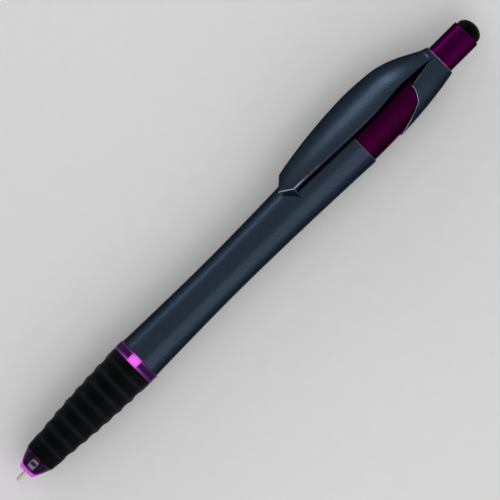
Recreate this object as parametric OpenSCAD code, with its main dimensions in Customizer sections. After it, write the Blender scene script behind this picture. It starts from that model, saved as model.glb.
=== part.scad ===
// Retractable light-up pen with a touch tip on its push button.
// The pen lies along X. Its writing point touches the origin, the push button is at +X, and +Z faces up.
// Every piece is drawn standing on its axis, with z counted from the writing point, and is then laid down.

/* [Writing end] */
// Length of the metal point in front of the nose
point_reach = 2.7; // [1.5:0.1:4]
// Diameter of the writing ball
ball_d = 0.7; // [0.5:0.1:0.9]
// Diameter of the metal point where it leaves the nose
point_d = 1.1; // [1:0.05:1.5]
// Diameter of the shank behind the point's taper
shank_d = 2.3; // [2:0.05:2.6]
// Length of the shank in front of the ink tube
shank_len = 4.8; // [3:0.1:6]
// Length of the clear nose cone that shows
nose_len = 4.3; // [3.6:0.1:6]
// Diameter of the nose's front face
nose_face_d = 3.6; // [3.2:0.02:5]
// Length of the bevel round the nose's front face
nose_bevel = 0.5; // [0.3:0.05:1]
// Rise of that bevel
nose_bevel_rise = 0.4; // [0.2:0.02:0.6]
// Length of the front lip that the point slides through
nose_lip = 0.6; // [0.4:0.05:1]
// Length of the nose's spigot inside the grip
nose_spigot = 1.2; // [0.8:0.1:3]

/* [Grip] */
// Length of the rubber grip
grip_len = 29.8; // [22:0.1:36]
// Rubber thickness at the front of the grip
grip_wall_front = 0.65; // [0.5:0.05:1.2]
// Rubber thickness at the rear of the grip
grip_wall_rear = 1.05; // [0.8:0.05:1.6]
// Diameter of the clear core at the front of the grip
core_front_d = 6.4; // [6:0.1:7]
// Number of grip ribs
rib_count = 8; // [4:1:12]
// Distance from the front of the grip to its first rib crest
rib_lead = 3.4; // [1:0.1:5]
// Distance from the last rib crest to the rear of the grip
rib_tail = 2.4; // [1:0.1:5]
// Depth of the valleys between ribs
rib_depth = 0.2; // [0.05:0.05:0.4]

/* [Light ring] */
// Length of the light ring
ring_len = 2.3; // [2:0.1:4]
// How far the ring stands proud of the barrel's front edge
ring_proud = 0.28; // [0.1:0.02:0.8]
// How far the ring stands proud of the grip's rear edge
ring_over_grip = 0.07; // [0:0.01:0.3]
// Width of the ring's two rims
ring_rim = 0.45; // [0.3:0.05:0.8]
// Number of light bars round the ring
bar_count = 4; // [2:1:6]
// Width of each light bar in degrees
bar_angle = 27.5; // [15:0.5:40]
// Turn of the first bar away from straight up, towards the clip
bar_turn = 4.8; // [0:0.1:20]
// Depth of the pockets between bars
pocket_depth = 0.4; // [0.1:0.05:0.6]

/* [Barrel] */
// Length of the barrel
barrel_len = 69.3; // [64:0.1:85]
// Distance from the barrel's front edge to its waist
waist_at = 24.9; // [15:0.1:32]
// Wall of the barrel at its waist, outside the carriage bore
waist_wall = 0.49; // [0.4:0.01:1]
// Wall of the barrel at its front edge
front_wall = 1.22; // [0.8:0.02:1.8]
// Wall of the barrel at its rear edge
rear_wall = 1.0; // [0.7:0.02:1.4]
// Bevel on the barrel's two end edges
barrel_bevel = 0.12; // [0.05:0.01:0.3]
// Step from the carriage bore down to the main bore
bore_step = 0.43; // [0.2:0.01:0.6]
// Diameter of the core's neck that plugs into the barrel
neck_d = 8.3; // [7.6:0.05:8.8]
// Length of that neck inside the barrel
neck_len = 4.9; // [3:0.1:10]

/* [Sleeve and cap] */
// Length from the barrel's rear edge to the end of the cap
upper_len = 26.3; // [25.5:0.1:36]
// Wall of the cap's skirt
cap_wall = 0.35; // [0.25:0.01:0.6]
// Wall of the cap round the button hole
cap_lip = 0.37; // [0.3:0.01:0.8]
// Length of the cap's solid end
cap_solid = 8.5; // [8:0.1:10]
// Length of the tongue that the slanted edge leaves opposite the clip
tongue_len = 9.5; // [4:0.1:14]
// Slope of the slanted edge, length along the pen for each millimetre across it
tongue_slope = 1.326; // [0.8:0.002:1.6]
// Radius of the corner where the slanted edge turns square to the pen
tongue_round = 1.6; // [0.2:0.1:2.5]
// Length of the sleeve's spigot inside the barrel
sleeve_spigot = 7.4; // [5:0.1:10]
// Wall of that spigot
sleeve_wall = 0.5; // [0.4:0.02:0.8]

/* [Clip] */
// Turn of the clip away from straight up
clip_turn = 45; // [0:1:90]
// Length of the clip
clip_len = 45.4; // [35:0.1:55]
// Distance from the clip's root to the end of the cap
clip_root_in = 1.6; // [1:0.1:3]
// Half width of the clip at its root
clip_root_half = 2.0; // [1.5:0.05:2.6]
// Half width of the clip where it is widest
clip_wide_half = 5.4; // [3.5:0.05:6]
// Distance from the root to the widest place
clip_wide_at = 20; // [12:0.5:26]
// Half width of the clip where its pointed tip starts
clip_tip_half = 3.3; // [2:0.05:4]
// Length of the pointed tip
clip_tip_len = 2.9; // [1.5:0.1:5]
// Height of the clip's edges over the barrel's rear edge
clip_stand = 2.13; // [1.5:0.01:3.5]
// Distance from the root to where the clip stands highest
clip_rise_len = 12; // [9:0.5:16]
// Thickness of the clip along its edges
clip_edge_t = 0.8; // [0.5:0.05:1.1]
// Extra thickness of the clip along its middle
clip_crown_t = 0.5; // [0.2:0.05:0.8]
// Crown of the clip for each millimetre of half width
clip_crown = 0.2; // [0.1:0.01:0.3]
// Height of the foot under the tip
foot_h = 0.7; // [0.3:0.05:1]
// Gap between that foot and the barrel
foot_gap = 0.15; // [0.1:0.05:0.5]

/* [Push button] */
// Diameter of the push button
button_d = 7.2; // [6.4:0.05:7.8]
// Length of button that shows beyond the cap
button_reach = 8.6; // [7:0.1:14]
// Relief of the button's shaft and the rotor inside the cap
button_relief = 0.2; // [0.16:0.01:0.3]
// Bevel round the button's end
button_bevel = 0.4; // [0.2:0.05:0.6]
// Diameter of the soft touch tip
touch_d = 6.2; // [5:0.1:6.4]
// Length of the soft touch tip
touch_len = 2.7; // [1.6:0.1:4]
// Diameter of the touch tip's stem
touch_stem_d = 3.0; // [2:0.1:4]
// Length of the touch tip's stem
touch_stem_len = 3.7; // [2:0.1:5]

/* [Click mechanism] */
// Travel from writing to retracted
travel = 5.0; // [4:0.1:6]
// Extra press that frees the latch
press = 1.2; // [0.8:0.1:1.6]
// Number of guide ribs
guide_count = 4; // [3:1:4]
// Height of the guide ribs
guide_rib_h = 0.65; // [0.4:0.05:0.8]
// Width of the guide ribs
guide_rib_w = 1.4; // [1:0.1:2]
// Length of the button's guide ribs
button_rib_len = 3.7; // [2.5:0.1:5]
// Length of the rotor's guide ribs
rotor_rib_len = 2.4; // [1.5:0.1:4]
// Height of the crown teeth
tooth_h = 1.1; // [0.6:0.1:1.4]
// Number of crown teeth
tooth_count = 8; // [6:1:12]
// Diameter of the rotor's pin inside the button
rotor_pin_d = 4.2; // [3:0.1:4.6]
// Length of the rotor's pin
rotor_pin_len = 3.6; // [2:0.1:6]
// Diameter of the pivot between rotor and carriage
pivot_d = 3.0; // [2:0.1:4]
// Length of that pivot
pivot_len = 1.2; // [0.8:0.1:1.8]
// Distance from the barrel's rear edge to the latch teeth
latch_in = 1.4; // [0.8:0.1:3]

/* [Refill and return spring] */
// Outer diameter of the ink tube
tube_d = 3.0; // [2.8:0.05:3.2]
// Bore of the ink tube
tube_bore = 2.2; // [1.6:0.05:2.4]
// Length of the point's spigot inside the ink tube
point_spigot = 3.5; // [2:0.1:6]
// Length of the ink column
ink_len = 50; // [10:1:60]
// Length of the return spring while writing
spring_len = 7.3; // [6.8:0.1:9]
// Wire diameter of the return spring
spring_wire = 0.4; // [0.25:0.05:0.4]
// Number of turns of the return spring
spring_turns = 7.5; // [5:0.5:7.5]

/* [Light circuit] */
// Width of the flexible circuit
flex_w = 1.6; // [1:0.1:1.6]
// Thickness of the flexible circuit
flex_t = 0.2; // [0.1:0.05:0.2]
// Length of the nose lamp
lamp_len = 2.1; // [1.6:0.1:2.2]
// Distance from the nose lamp to the rear of the nose
lamp_back = 0.85; // [0.5:0.05:1.2]
// Width of the nose lamp
lamp_w = 1.7; // [1.2:0.1:1.8]
// Height of both lamps
lamp_h = 0.5; // [0.3:0.05:0.55]
// Length of the ring lamp
ring_lamp_len = 1.6; // [1:0.1:1.6]
// Length of the resistor
resistor_len = 1.2; // [1:0.1:2]
// Width of the resistor
resistor_w = 0.8; // [0.5:0.05:1.2]
// Distance from the resistor to the ring lamp
resistor_back = 2.6; // [1:0.1:10]
// Length of the circuit's wide tail behind the neck
tail_len = 2.7; // [2:0.1:5]
// Width of each contact rail
rail_w = 0.9; // [0.6:0.05:1]
// Distance from the middle to the inner edge of each rail
rail_in = 1.4; // [1.2:0.05:1.6]
// Thickness of the contact rails
rail_t = 0.3; // [0.2:0.02:0.4]

/* [Battery carriage] */
// Diameter of a button cell
cell_d = 7.9; // [7.6:0.1:8.4]
// Height of a button cell
cell_h = 3.6; // [2.1:0.1:5.4]
// Number of button cells
cell_count = 3; // [1:1:3]
// Wall of the carriage round the cells
carriage_wall = 0.4; // [0.3:0.02:0.6]
// Thickness of the carriage's front wall
carriage_front = 1.2; // [0.8:0.1:2]
// Diameter of the boss that holds the refill's tail
boss_d = 4.4; // [3.8:0.1:4.6]
// Length of that boss
boss_len = 2.5; // [1.5:0.1:4]
// Length of the carriage cap's spigot
lid_spigot = 1.5; // [1:0.1:3]
// Length of the carriage cap's flange
lid_flange = 2.0; // [1.9:0.1:3]
// Thickness of the cell contacts
contact_t = 0.3; // [0.2:0.02:0.4]
// Height of the spring washer under the cells
washer_h = 0.8; // [0.5:0.05:1.2]
// Thickness of that washer's sheet
washer_t = 0.2; // [0.1:0.02:0.25]
// Length of the wiper fingers in front of the carriage
wiper_len = 6.0; // [4:0.1:8]

/* [Clearances] */
// Gap round pieces that are pressed or glued together
seat_gap = 0.02; // [0.01:0.01:0.05]
// Gap round pieces that slide or turn in each other
slide_gap = 0.08; // [0.05:0.01:0.1]
// Gap between pieces that move past each other
clear_gap = 0.3; // [0.2:0.05:0.4]

/* [Hidden] */
$fn = 96;

// Reach of a cut past the face that it opens
past = 0.5;
// Half of a size that is wider than the pen
wide = 20;
// Straight pieces in a long outline
long_steps = 24;
// Straight pieces in each grip rib
rib_steps = 8;

// Colours of the finishes
slate = "#33424f";
plum = "#5a0a4c";
magenta = "#7a1070";
clear_pink = "#e7a9ee";
black = "#1b1c1e";
steel = "#b9bcc0";
gold = "#c9a24a";
amber = "#b5702c";
white = "#e6e6e2";

// Stations along the pen, from the writing point
z_nose = point_reach;
z_grip = z_nose + nose_len;
z_seat = z_grip + nose_spigot;
z_tube = z_seat + spring_len;
z_ring = z_grip + grip_len;
z_barrel = z_ring + ring_len;
z_neck = z_barrel + neck_len;
z_waist = z_barrel + waist_at;
z_sleeve = z_barrel + barrel_len;
z_cap_end = z_sleeve + upper_len;
z_sleeve_end = z_cap_end - cap_solid;
z_cap_edge = z_sleeve_end - clear_gap;
z_tongue = z_cap_edge - tongue_len;
z_button = z_cap_end + button_reach;
z_clip = z_cap_end - clip_root_in;

// Stations of the click mechanism
z_latch = z_sleeve + latch_in;
z_rotor_rib = z_latch - clear_gap - rotor_rib_len;
rotor_neck = 1.0;
rotor_stem = 2.9;
z_rotor_core = z_rotor_rib - rotor_neck;
z_rotor = z_rotor_core - rotor_stem;
z_rotor_crown = z_rotor_rib + rotor_rib_len;
z_crowns = z_rotor_crown + tooth_h;
z_button_crown = z_crowns + clear_gap;
z_button_rib = z_button_crown + tooth_h + clear_gap;
z_groove_end = z_button_rib + button_rib_len + travel + clear_gap;

// Stations of the battery carriage, counted forwards from the rotor
z_lid_end = z_rotor - slide_gap;
z_carriage_end = z_lid_end - lid_flange;
z_lid = z_carriage_end - lid_spigot;
z_cells_end = z_lid - slide_gap - contact_t;
z_cells = z_cells_end - cell_count * cell_h;
z_plate = z_cells - washer_h - contact_t;
z_carriage = z_plate - carriage_front;
z_wiper = z_carriage - wiper_len;
z_boss = z_carriage - boss_len;
z_bore_step = z_carriage - contact_t - press - clear_gap;
z_rail = z_neck + clear_gap;
z_rail_end = z_carriage - contact_t - press - 2 * clear_gap;

// Radii of the click mechanism, from the button outwards
button_r = button_d / 2;
button_hole_r = button_r + slide_gap;
guide_r = button_r + clear_gap;
guide_rib_r = guide_r + guide_rib_h;
groove_r = guide_rib_r + slide_gap;
shaft_r = button_r - button_relief;
rotor_r = shaft_r;
crown_bore_r = rotor_pin_d / 2 + slide_gap;

// Radii of the battery carriage and the bores that it runs in
carriage_in_r = cell_d / 2 + slide_gap;
carriage_r = carriage_in_r + carriage_wall;
carriage_bore_r = carriage_r + slide_gap;
main_bore_r = carriage_bore_r - bore_step;
chamber_r = max(guide_rib_r, carriage_r) + slide_gap;
spigot_r = chamber_r + sleeve_wall;
contact_in = 0.6;
contact_r = carriage_in_r - contact_in;

// Radii of the outside
neck_r = neck_d / 2;
neck_bore_r = neck_r + slide_gap;
waist_r = carriage_bore_r + waist_wall;
barrel_front_r = neck_bore_r + front_wall;
barrel_rear_r = spigot_r + seat_gap + rear_wall;
ring_r = barrel_front_r + ring_proud;
grip_front_r = core_front_d / 2 + grip_wall_front;
grip_rear_r = ring_r - ring_over_grip;
core_front_r = core_front_d / 2;
core_rear_r = grip_rear_r - grip_wall_rear;
cap_end_r = button_hole_r + cap_lip;
skirt_step = cap_wall + seat_gap;
flat_p = cap_end_r;

// How the outlines bow between their ends
front_bow = 1.5;
rear_bow = 1.7;
cap_bow = 2.6;
tip_bow = 1.6;
clip_fall_bow = 3;

// Refill radii, the point's taper and the nose bores that clear it
ball_r = ball_d / 2;
point_r = point_d / 2;
shank_r = shank_d / 2;
tube_r = tube_d / 2;
lip_wall = 0.05;
lip_r = ball_r + lip_wall;
z_lip = ball_r / 2;
z_taper_end = z_tube - shank_len;
nose_hole_r = point_taper(z_nose + nose_lip + press) + slide_gap;
nose_bore_r = shank_r + slide_gap;
nose_face_r = nose_face_d / 2;
nose_step = 0.08;
nose_rear_r = grip_front_r - nose_step;
core_mouth_wall = 0.6;
nose_spigot_r = core_front_r - core_mouth_wall;
spring_r = tube_r;
core_bore_r = spring_r + spring_wire / 2 + 2 * slide_gap;

// Heights of the light circuit over the pen's axis
flex_low = nose_bore_r;
flex_high = core_bore_r + slide_gap;
lamp_z = z_grip - lamp_back - lamp_len / 2;
lamp_room = 0.1;
ring_lamp_z = z_ring + ring_len / 2;
resistor_z = ring_lamp_z - resistor_back - resistor_len / 2;
ring_lamp_w = flex_w;
rail_out = rail_in + rail_w;
rail_top = sqrt(pow(main_bore_r - seat_gap, 2) - rail_out * rail_out);
rail_low = rail_top - rail_t;
wiper_top = rail_low - slide_gap;
wiper_t = 0.2;
strip_half = 0.5;
strip_t = 0.25;
strip_low = cell_d / 2 + slide_gap;
strip_top = strip_low + strip_t;

// Radius of the metal point at a station in front of its shank
function point_taper(z) = point_r + (shank_r - point_r) * (z - z_nose) / (z_taper_end - z_nose);

// Radius of the rubber grip: a rising quarter wave with ribs pressed into it
rib_pitch = (grip_len - rib_lead - rib_tail) / (rib_count - 1);
function grip_r(z) = grip_front_r + (grip_rear_r - grip_front_r) * sin(90 * (z - z_grip) / grip_len)
    - rib_depth * (1 - cos(360 * (z - z_grip - rib_lead) / rib_pitch)) / 2;

// Radius of the barrel, which bows out both ways from its waist
function barrel_r(z) = z < z_waist
    ? waist_r + (barrel_front_r - waist_r) * pow((z_waist - z) / waist_at, front_bow)
    : waist_r + (barrel_rear_r - waist_r) * pow((z - z_waist) / (z_sleeve - z_waist), rear_bow);

// Radius of the cap, which rounds down to the button hole
function cap_r(z) = barrel_rear_r - (barrel_rear_r - cap_end_r) * pow((z - z_sleeve) / upper_len, cap_bow);

// Stations spaced evenly between two places
function stations(from, to, steps) = [for (i = [0 : steps]) from + (to - from) * i / steps];

// Lay a piece down along X with its +Y side up
module laid() {
    rotate([90, 0, 90]) children();
}

// Turn a half outline of [radius, station] points round the pen's axis
module turned(points) {
    rotate_extrude() polygon(points);
}

// A plain disc or bore between two stations
module round_at(r, from, to) {
    translate([0, 0, from]) cylinder(r = r, h = to - from);
}

// A block between two stations, from one height to another
module block(half_w, low, high, from, to) {
    translate([-half_w, low, from]) cube([2 * half_w, high - low, to - from]);
}

// Ribs or grooves round the axis, out to a radius
module guide_ribs(r, w, from, to) {
    intersection() {
        round_at(r, from, to);
        for (i = [0 : guide_count - 1]) {
            rotate(360 * i / guide_count) translate([-w / 2, 0, from]) cube([w, wide, to - from]);
        }
    }
}

// Notches that leave crown teeth on the end of a tube, pointing along dir
module crown_notches(z_tips, dir) {
    half = 180 / tooth_count;
    notch_share = 0.9;
    notch_half = rotor_r * tan(half) * notch_share;
    over = dir * past / 10;
    for (i = [0 : tooth_count - 1]) {
        rotate(360 * i / tooth_count) translate([0, 0, z_tips]) rotate([90, 0, 0]) linear_extrude(wide)
            polygon([[-notch_half, over], [notch_half, over], [0, -dir * tooth_h]]);
    }
}

// Room for the circuit along the nose and the core
module flex_groove(low, high, from, to) {
    block(flex_w / 2 + slide_gap, low, high + slide_gap, from, to);
}

module nose_cone() {
    color(clear_pink, 0.5) laid() difference() {
        turned([[0, z_nose], [nose_face_r, z_nose], [nose_face_r + nose_bevel_rise, z_nose + nose_bevel],
            [nose_rear_r, z_grip], [nose_spigot_r, z_grip], [nose_spigot_r, z_seat], [0, z_seat]]);
        round_at(nose_hole_r, z_nose - past, z_grip);
        round_at(nose_bore_r, z_nose + nose_lip, z_seat + past);
        block(lamp_w / 2 + lamp_room, 0, flex_low + flex_t + lamp_h + lamp_room,
            lamp_z - lamp_len / 2 - lamp_room, lamp_z + lamp_len / 2 + lamp_room);
        flex_groove(0, flex_low + flex_t, lamp_z, z_grip);
        flex_groove(0, flex_high + flex_t, z_grip - slide_gap, z_seat + past);
    }
}

module grip_core() {
    color(clear_pink, 0.5) laid() difference() {
        turned([[0, z_grip], [core_front_r, z_grip], [core_rear_r, z_ring], [neck_r, z_ring],
            [neck_r, z_neck], [0, z_neck]]);
        round_at(core_bore_r, z_grip - past, z_neck + past);
        round_at(nose_spigot_r + seat_gap, z_grip - past, z_seat);
        flex_groove(0, flex_high + flex_t, z_grip - past, z_neck + past);
        block(ring_lamp_w / 2 + lamp_room, 0, flex_high + flex_t + lamp_h + lamp_room,
            ring_lamp_z - ring_lamp_len / 2 - lamp_room, ring_lamp_z + ring_lamp_len / 2 + lamp_room);
        block(resistor_w / 2 + lamp_room, 0, flex_high + flex_t + lamp_h + lamp_room,
            resistor_z - resistor_len / 2 - lamp_room, resistor_z + resistor_len / 2 + lamp_room);
    }
}

module rubber_grip() {
    outside = [for (z = stations(z_grip, z_ring, rib_count * rib_steps)) [grip_r(z), z]];
    color(black) laid()
        turned(concat([[core_front_r + seat_gap, z_grip]], outside, [[core_rear_r + seat_gap, z_ring]]));
}

module light_ring() {
    pocket_angle = 360 / bar_count - bar_angle;
    first_pocket = 90 - bar_turn + bar_angle / 2;
    floor_r = ring_r - pocket_depth;
    pocket_len = ring_len - 2 * ring_rim;
    edge = ring_rim / 3;
    color(clear_pink) laid() difference() {
        turned([[neck_bore_r, z_ring], [ring_r - edge, z_ring], [ring_r, z_ring + edge],
            [ring_r, z_barrel - edge], [ring_r - edge, z_barrel], [neck_bore_r, z_barrel]]);
        for (i = [0 : bar_count - 1]) {
            rotate(first_pocket + 360 * i / bar_count) rotate_extrude(angle = pocket_angle)
                translate([floor_r, z_ring + ring_rim]) square([pocket_depth + past, pocket_len]);
        }
    }
}

module barrel() {
    from = z_barrel + barrel_bevel;
    to = z_sleeve - barrel_bevel;
    outside = [for (z = stations(from, to, 2 * long_steps)) [barrel_r(z), z]];
    color(slate) laid() difference() {
        turned(concat([[0, z_barrel], [barrel_front_r - barrel_bevel, z_barrel]], outside,
            [[barrel_rear_r - barrel_bevel, z_sleeve], [0, z_sleeve]]));
        round_at(neck_bore_r, z_barrel - past, z_neck + clear_gap);
        round_at(main_bore_r, z_barrel, z_bore_step + past);
        round_at(carriage_bore_r, z_bore_step, z_sleeve);
        round_at(spigot_r + seat_gap, z_sleeve - sleeve_spigot - clear_gap, z_sleeve + past);
    }
}

module upper_sleeve() {
    z_spigot = z_sleeve - sleeve_spigot;
    outside = [for (z = stations(z_sleeve, z_sleeve_end, long_steps)) [cap_r(z) - skirt_step, z]];
    color(plum) laid() difference() {
        turned(concat([[0, z_spigot], [spigot_r, z_spigot], [spigot_r, z_sleeve]], outside,
            [[0, z_sleeve_end]]));
        round_at(chamber_r, z_spigot - past, z_latch);
        round_at(guide_r, z_latch - past, z_sleeve_end + past);
        guide_ribs(groove_r, guide_rib_w + 2 * slide_gap, z_latch - past, z_groove_end);
    }
}

// The cap is turned, then cut to its slanted edge and milled flat under the clip
module clip_cap() {
    edge_r = cap_r(z_cap_edge);
    corner = [tongue_len / tongue_slope - edge_r, z_cap_edge];
    slant = -[1, tongue_slope] / norm([1, tongue_slope]);
    reach = tongue_round * tan((90 - atan(1 / tongue_slope)) / 2);
    bend = [for (u = stations(0, 1, 6)) corner + reach * ((1 - u) * (1 - u) * [1, 0] + u * u * slant)];
    outside = [for (z = stations(z_tongue, z_cap_end, long_steps)) [cap_r(z), z]];
    z_floor = z_sleeve_end + seat_gap;
    skirt = [for (z = stations(z_floor, z_tongue, long_steps)) [cap_r(z) - cap_wall, z]];
    color(slate) laid() difference() {
        turned(concat(outside, [[button_hole_r, z_cap_end], [button_hole_r, z_floor]], skirt));
        rotate(-clip_turn) rotate([90, 0, 90]) linear_extrude(2 * wide, center = true)
            polygon(concat([[wide, z_tongue - past], [wide, z_cap_edge]], bend,
                [[-edge_r, z_tongue], [-edge_r, z_tongue - past]]));
        rotate(-clip_turn) block(wide, flat_p, wide, z_cap_edge - past, z_clip);
    }
}

// Share of the tip's half width that is left at its very end
clip_blunt = 0.04;

// Half width of the clip, distance t from its root
function clip_half(t) = t < clip_wide_at
    ? clip_root_half + (clip_wide_half - clip_root_half) * sin(90 * t / clip_wide_at)
    : t < clip_len - clip_tip_len
    ? clip_wide_half - (clip_wide_half - clip_tip_half)
        * pow((t - clip_wide_at) / (clip_len - clip_tip_len - clip_wide_at), tip_bow)
    : clip_tip_half * max(clip_blunt, (clip_len - t) / clip_tip_len);

// Height of the clip's edges over the pen's axis, distance t from its root
clip_low = flat_p + slide_gap;
clip_high = barrel_rear_r + clip_stand;
foot_t = clip_len - clip_tip_len;
foot_half_len = 2.6;
clip_tip_high = barrel_r(z_clip - foot_t) + foot_gap + foot_h + clip_edge_t + clip_crown_t
    - clip_crown * clip_tip_half;
function clip_fall(t) = pow((t - clip_rise_len) / (foot_t - clip_rise_len), clip_fall_bow);
function clip_edge(t) = t < clip_rise_len
    ? clip_low + clip_root_t + (clip_high - clip_low - clip_root_t) * sin(90 * t / clip_rise_len)
    : clip_high - (clip_high - clip_tip_high) * clip_fall(t);

// The clip is thin at its root, where it grows out of the cap
clip_root_t = 0.25;
clip_thick_at = 6;
function clip_edge_thick(t) = clip_root_t + (clip_edge_t - clip_root_t) * min(1, t / clip_thick_at);
function clip_mid_thick(t) = clip_crown_t * min(1, t / clip_thick_at);
function clip_foot(t) = foot_h * max(0, 1 - pow((t - foot_t) / foot_half_len, 2));
function clip_top(t, u) = clip_edge(t) + clip_crown * clip_half(t) * (1 - u * u);

// From the foot to the tip, the clip's underside stays clear of the barrel
function clip_floor(t) = t < foot_t - foot_half_len ? 0 : barrel_r(z_clip - t) + foot_gap;
function clip_under(t, u) = max(clip_floor(t), clip_top(t, u) - clip_edge_thick(t)
    - (clip_mid_thick(t) + clip_foot(t)) * (1 - u * u));

// The clip is a skin of points over and under, row by row from root to tip
module clip() {
    long_rows = 16;
    tip_rows = 5;
    rows = concat(stations(0, clip_wide_at, long_rows),
        stations(clip_wide_at + (foot_t - clip_wide_at) / long_rows, foot_t, long_rows - 1),
        stations(foot_t + clip_tip_len / tip_rows, clip_len, tip_rows - 1));
    across = 12;
    side = across + 1;
    us = [for (a = stations(0, 180, across)) cos(a)];
    points = [for (t = rows) each concat(
        [for (u = us) [u * clip_half(t), clip_top(t, u), z_clip - t]],
        [for (u = us) [u * clip_half(t), clip_under(t, u), z_clip - t]])];
    last = len(rows) - 1;
    top = function (i, j) i * 2 * side + j;
    under = function (i, j) (i * 2 + 1) * side + j;
    quad = function (a, b, c, d) [[a, b, c], [a, c, d]];
    skin = [for (i = [0 : last - 1], j = [0 : across - 1]) each concat(
        quad(top(i, j), top(i, j + 1), top(i + 1, j + 1), top(i + 1, j)),
        quad(under(i, j), under(i + 1, j), under(i + 1, j + 1), under(i, j + 1)))];
    sides = [for (i = [0 : last - 1]) each concat(
        quad(top(i, 0), top(i + 1, 0), under(i + 1, 0), under(i, 0)),
        quad(top(i, across), under(i, across), under(i + 1, across), top(i + 1, across)))];
    ends = [for (j = [0 : across - 1]) each concat(
        quad(top(0, j), under(0, j), under(0, j + 1), top(0, j + 1)),
        quad(top(last, j), top(last, j + 1), under(last, j + 1), under(last, j)))];
    color(slate) laid() rotate(-clip_turn) translate([0, 0, -seat_gap])
        polyhedron(points, concat(skin, sides, ends));
}

module plunger() {
    stem_hole_r = touch_stem_d / 2 + seat_gap;
    z_stem_hole = z_button - touch_stem_len - clear_gap;
    well_floor = 0.75;
    well_end = z_stem_hole - well_floor;
    color(magenta) laid() difference() {
        union() {
            turned([[0, z_button_crown], [shaft_r, z_button_crown], [shaft_r, z_cap_end],
                [button_r, z_cap_end], [button_r, z_button - button_bevel],
                [button_r - button_bevel, z_button], [0, z_button]]);
            guide_ribs(guide_rib_r, guide_rib_w, z_button_rib, z_button_rib + button_rib_len);
        }
        round_at(crown_bore_r, z_button_crown - past, well_end);
        round_at(stem_hole_r, z_stem_hole, z_button + past);
        crown_notches(z_button_crown, -1);
    }
}

module stylus_tip() {
    r = touch_d / 2;
    base = touch_len / 6;
    dome = [for (a = stations(0, 90, 10)) [r * cos(a), z_button + base + (touch_len - base) * sin(a)]];
    stem_r = touch_stem_d / 2;
    z_stem = z_button - touch_stem_len;
    color(black) laid()
        turned(concat([[0, z_stem], [stem_r, z_stem], [stem_r, z_button], [r, z_button]], dome));
}

module cam_rotor() {
    stem_r = pivot_d / 2 + carriage_wall;
    color(white) laid() difference() {
        union() {
            turned([[0, z_rotor - pivot_len], [pivot_d / 2, z_rotor - pivot_len], [pivot_d / 2, z_rotor],
                [stem_r, z_rotor], [stem_r, z_rotor_core], [rotor_r, z_rotor_core], [rotor_r, z_crowns],
                [0, z_crowns]]);
            guide_ribs(guide_rib_r, guide_rib_w, z_rotor_rib, z_rotor_crown);
        }
        crown_notches(z_crowns, 1);
        difference() {
            round_at(crown_bore_r, z_rotor_crown, z_crowns + past);
            round_at(rotor_pin_d / 2, z_rotor_crown - past, z_crowns + 2 * past);
        }
    }
    color(white) laid() round_at(rotor_pin_d / 2, z_rotor_crown, z_rotor_crown + rotor_pin_len);
}

module refill_point() {
    color(steel) laid() difference() {
        turned([[0, z_lip], [lip_r, z_lip], [point_r, z_nose], [shank_r, z_taper_end], [shank_r, z_tube],
            [tube_bore / 2 - seat_gap, z_tube], [tube_bore / 2 - seat_gap, z_tube + point_spigot],
            [0, z_tube + point_spigot]]);
        translate([0, 0, ball_r]) sphere(r = ball_r + seat_gap);
    }
}

module writing_ball() {
    color(steel) laid() translate([0, 0, ball_r]) sphere(r = ball_r);
}

// The ink tube runs from the spring to the carriage's boss
module ink_tube() {
    color(white, 0.5) laid() difference() {
        round_at(tube_r, z_tube, z_carriage - seat_gap);
        round_at(tube_bore / 2, z_tube - past, z_carriage);
    }
}

module ink() {
    from = z_tube + point_spigot + seat_gap;
    color("#20264a") laid() round_at(tube_bore / 2 - seat_gap, from, min(from + ink_len, z_boss));
}

// Points round the wire of the return spring, ring by ring
spring_rings = 10;
spring_sides = 8;
spring_rise = spring_len - spring_wire - 2 * seat_gap;
function spring_middle(turn) = [spring_r * cos(360 * turn), spring_r * sin(360 * turn),
    z_seat + seat_gap + spring_wire / 2 + spring_rise * turn / spring_turns];
function spring_point(turn, a) = spring_middle(turn) + spring_wire / 2
    * [cos(a) * cos(360 * turn), cos(a) * sin(360 * turn), sin(a)];
spring_gap = min([for (k = [0 : spring_rings])
    norm(spring_middle(1 - k / spring_rings / 4) - spring_middle(0))]) - spring_wire;
echo(str("return spring, least gap between turns: ", spring_gap, " mm"));

module return_spring() {
    last = spring_turns * spring_rings;
    points = [for (i = [0 : last], k = [0 : spring_sides - 1])
        spring_point(i / spring_rings, 360 * k / spring_sides)];
    at = function (i, k) i * spring_sides + k % spring_sides;
    skin = [for (i = [0 : last - 1], k = [0 : spring_sides - 1])
        each [[at(i, k), at(i, k + 1), at(i + 1, k + 1)], [at(i, k), at(i + 1, k + 1), at(i + 1, k)]]];
    ends = [for (k = [1 : spring_sides - 2])
        each [[at(0, 0), at(0, k + 1), at(0, k)], [at(last, 0), at(last, k), at(last, k + 1)]]];
    color(steel) laid() polyhedron(points, concat(skin, ends));
}

// The circuit steps up behind the nose and again behind the neck, where its wide tail meets the rails
module flex_circuit() {
    half = flex_w / 2;
    tail_top = rail_low - seat_gap;
    z_step = z_grip;
    z_tail = z_rail;
    color(amber) laid() union() {
        block(half, flex_low, flex_low + flex_t, lamp_z - lamp_len / 2, z_step + flex_t);
        block(half, flex_low, flex_high + flex_t, z_step, z_step + flex_t);
        block(half, flex_high, flex_high + flex_t, z_step, z_tail + flex_t);
        block(half, flex_high, tail_top, z_tail, z_tail + flex_t);
        block(rail_out, tail_top - flex_t, tail_top, z_tail, z_tail + tail_len);
    }
}

// A lamp: a pale frame round a sunken window
module lamp(w, length, low, z_mid) {
    window = 0.7;
    difference() {
        block(w / 2, low, low + lamp_h, z_mid - length / 2, z_mid + length / 2);
        block(w * window / 2, low + lamp_h / 2, low + lamp_h + past,
            z_mid - length * window / 2, z_mid + length * window / 2);
    }
}

module nose_led() {
    color(white) laid() lamp(lamp_w, lamp_len, flex_low + flex_t, lamp_z);
}

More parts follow.
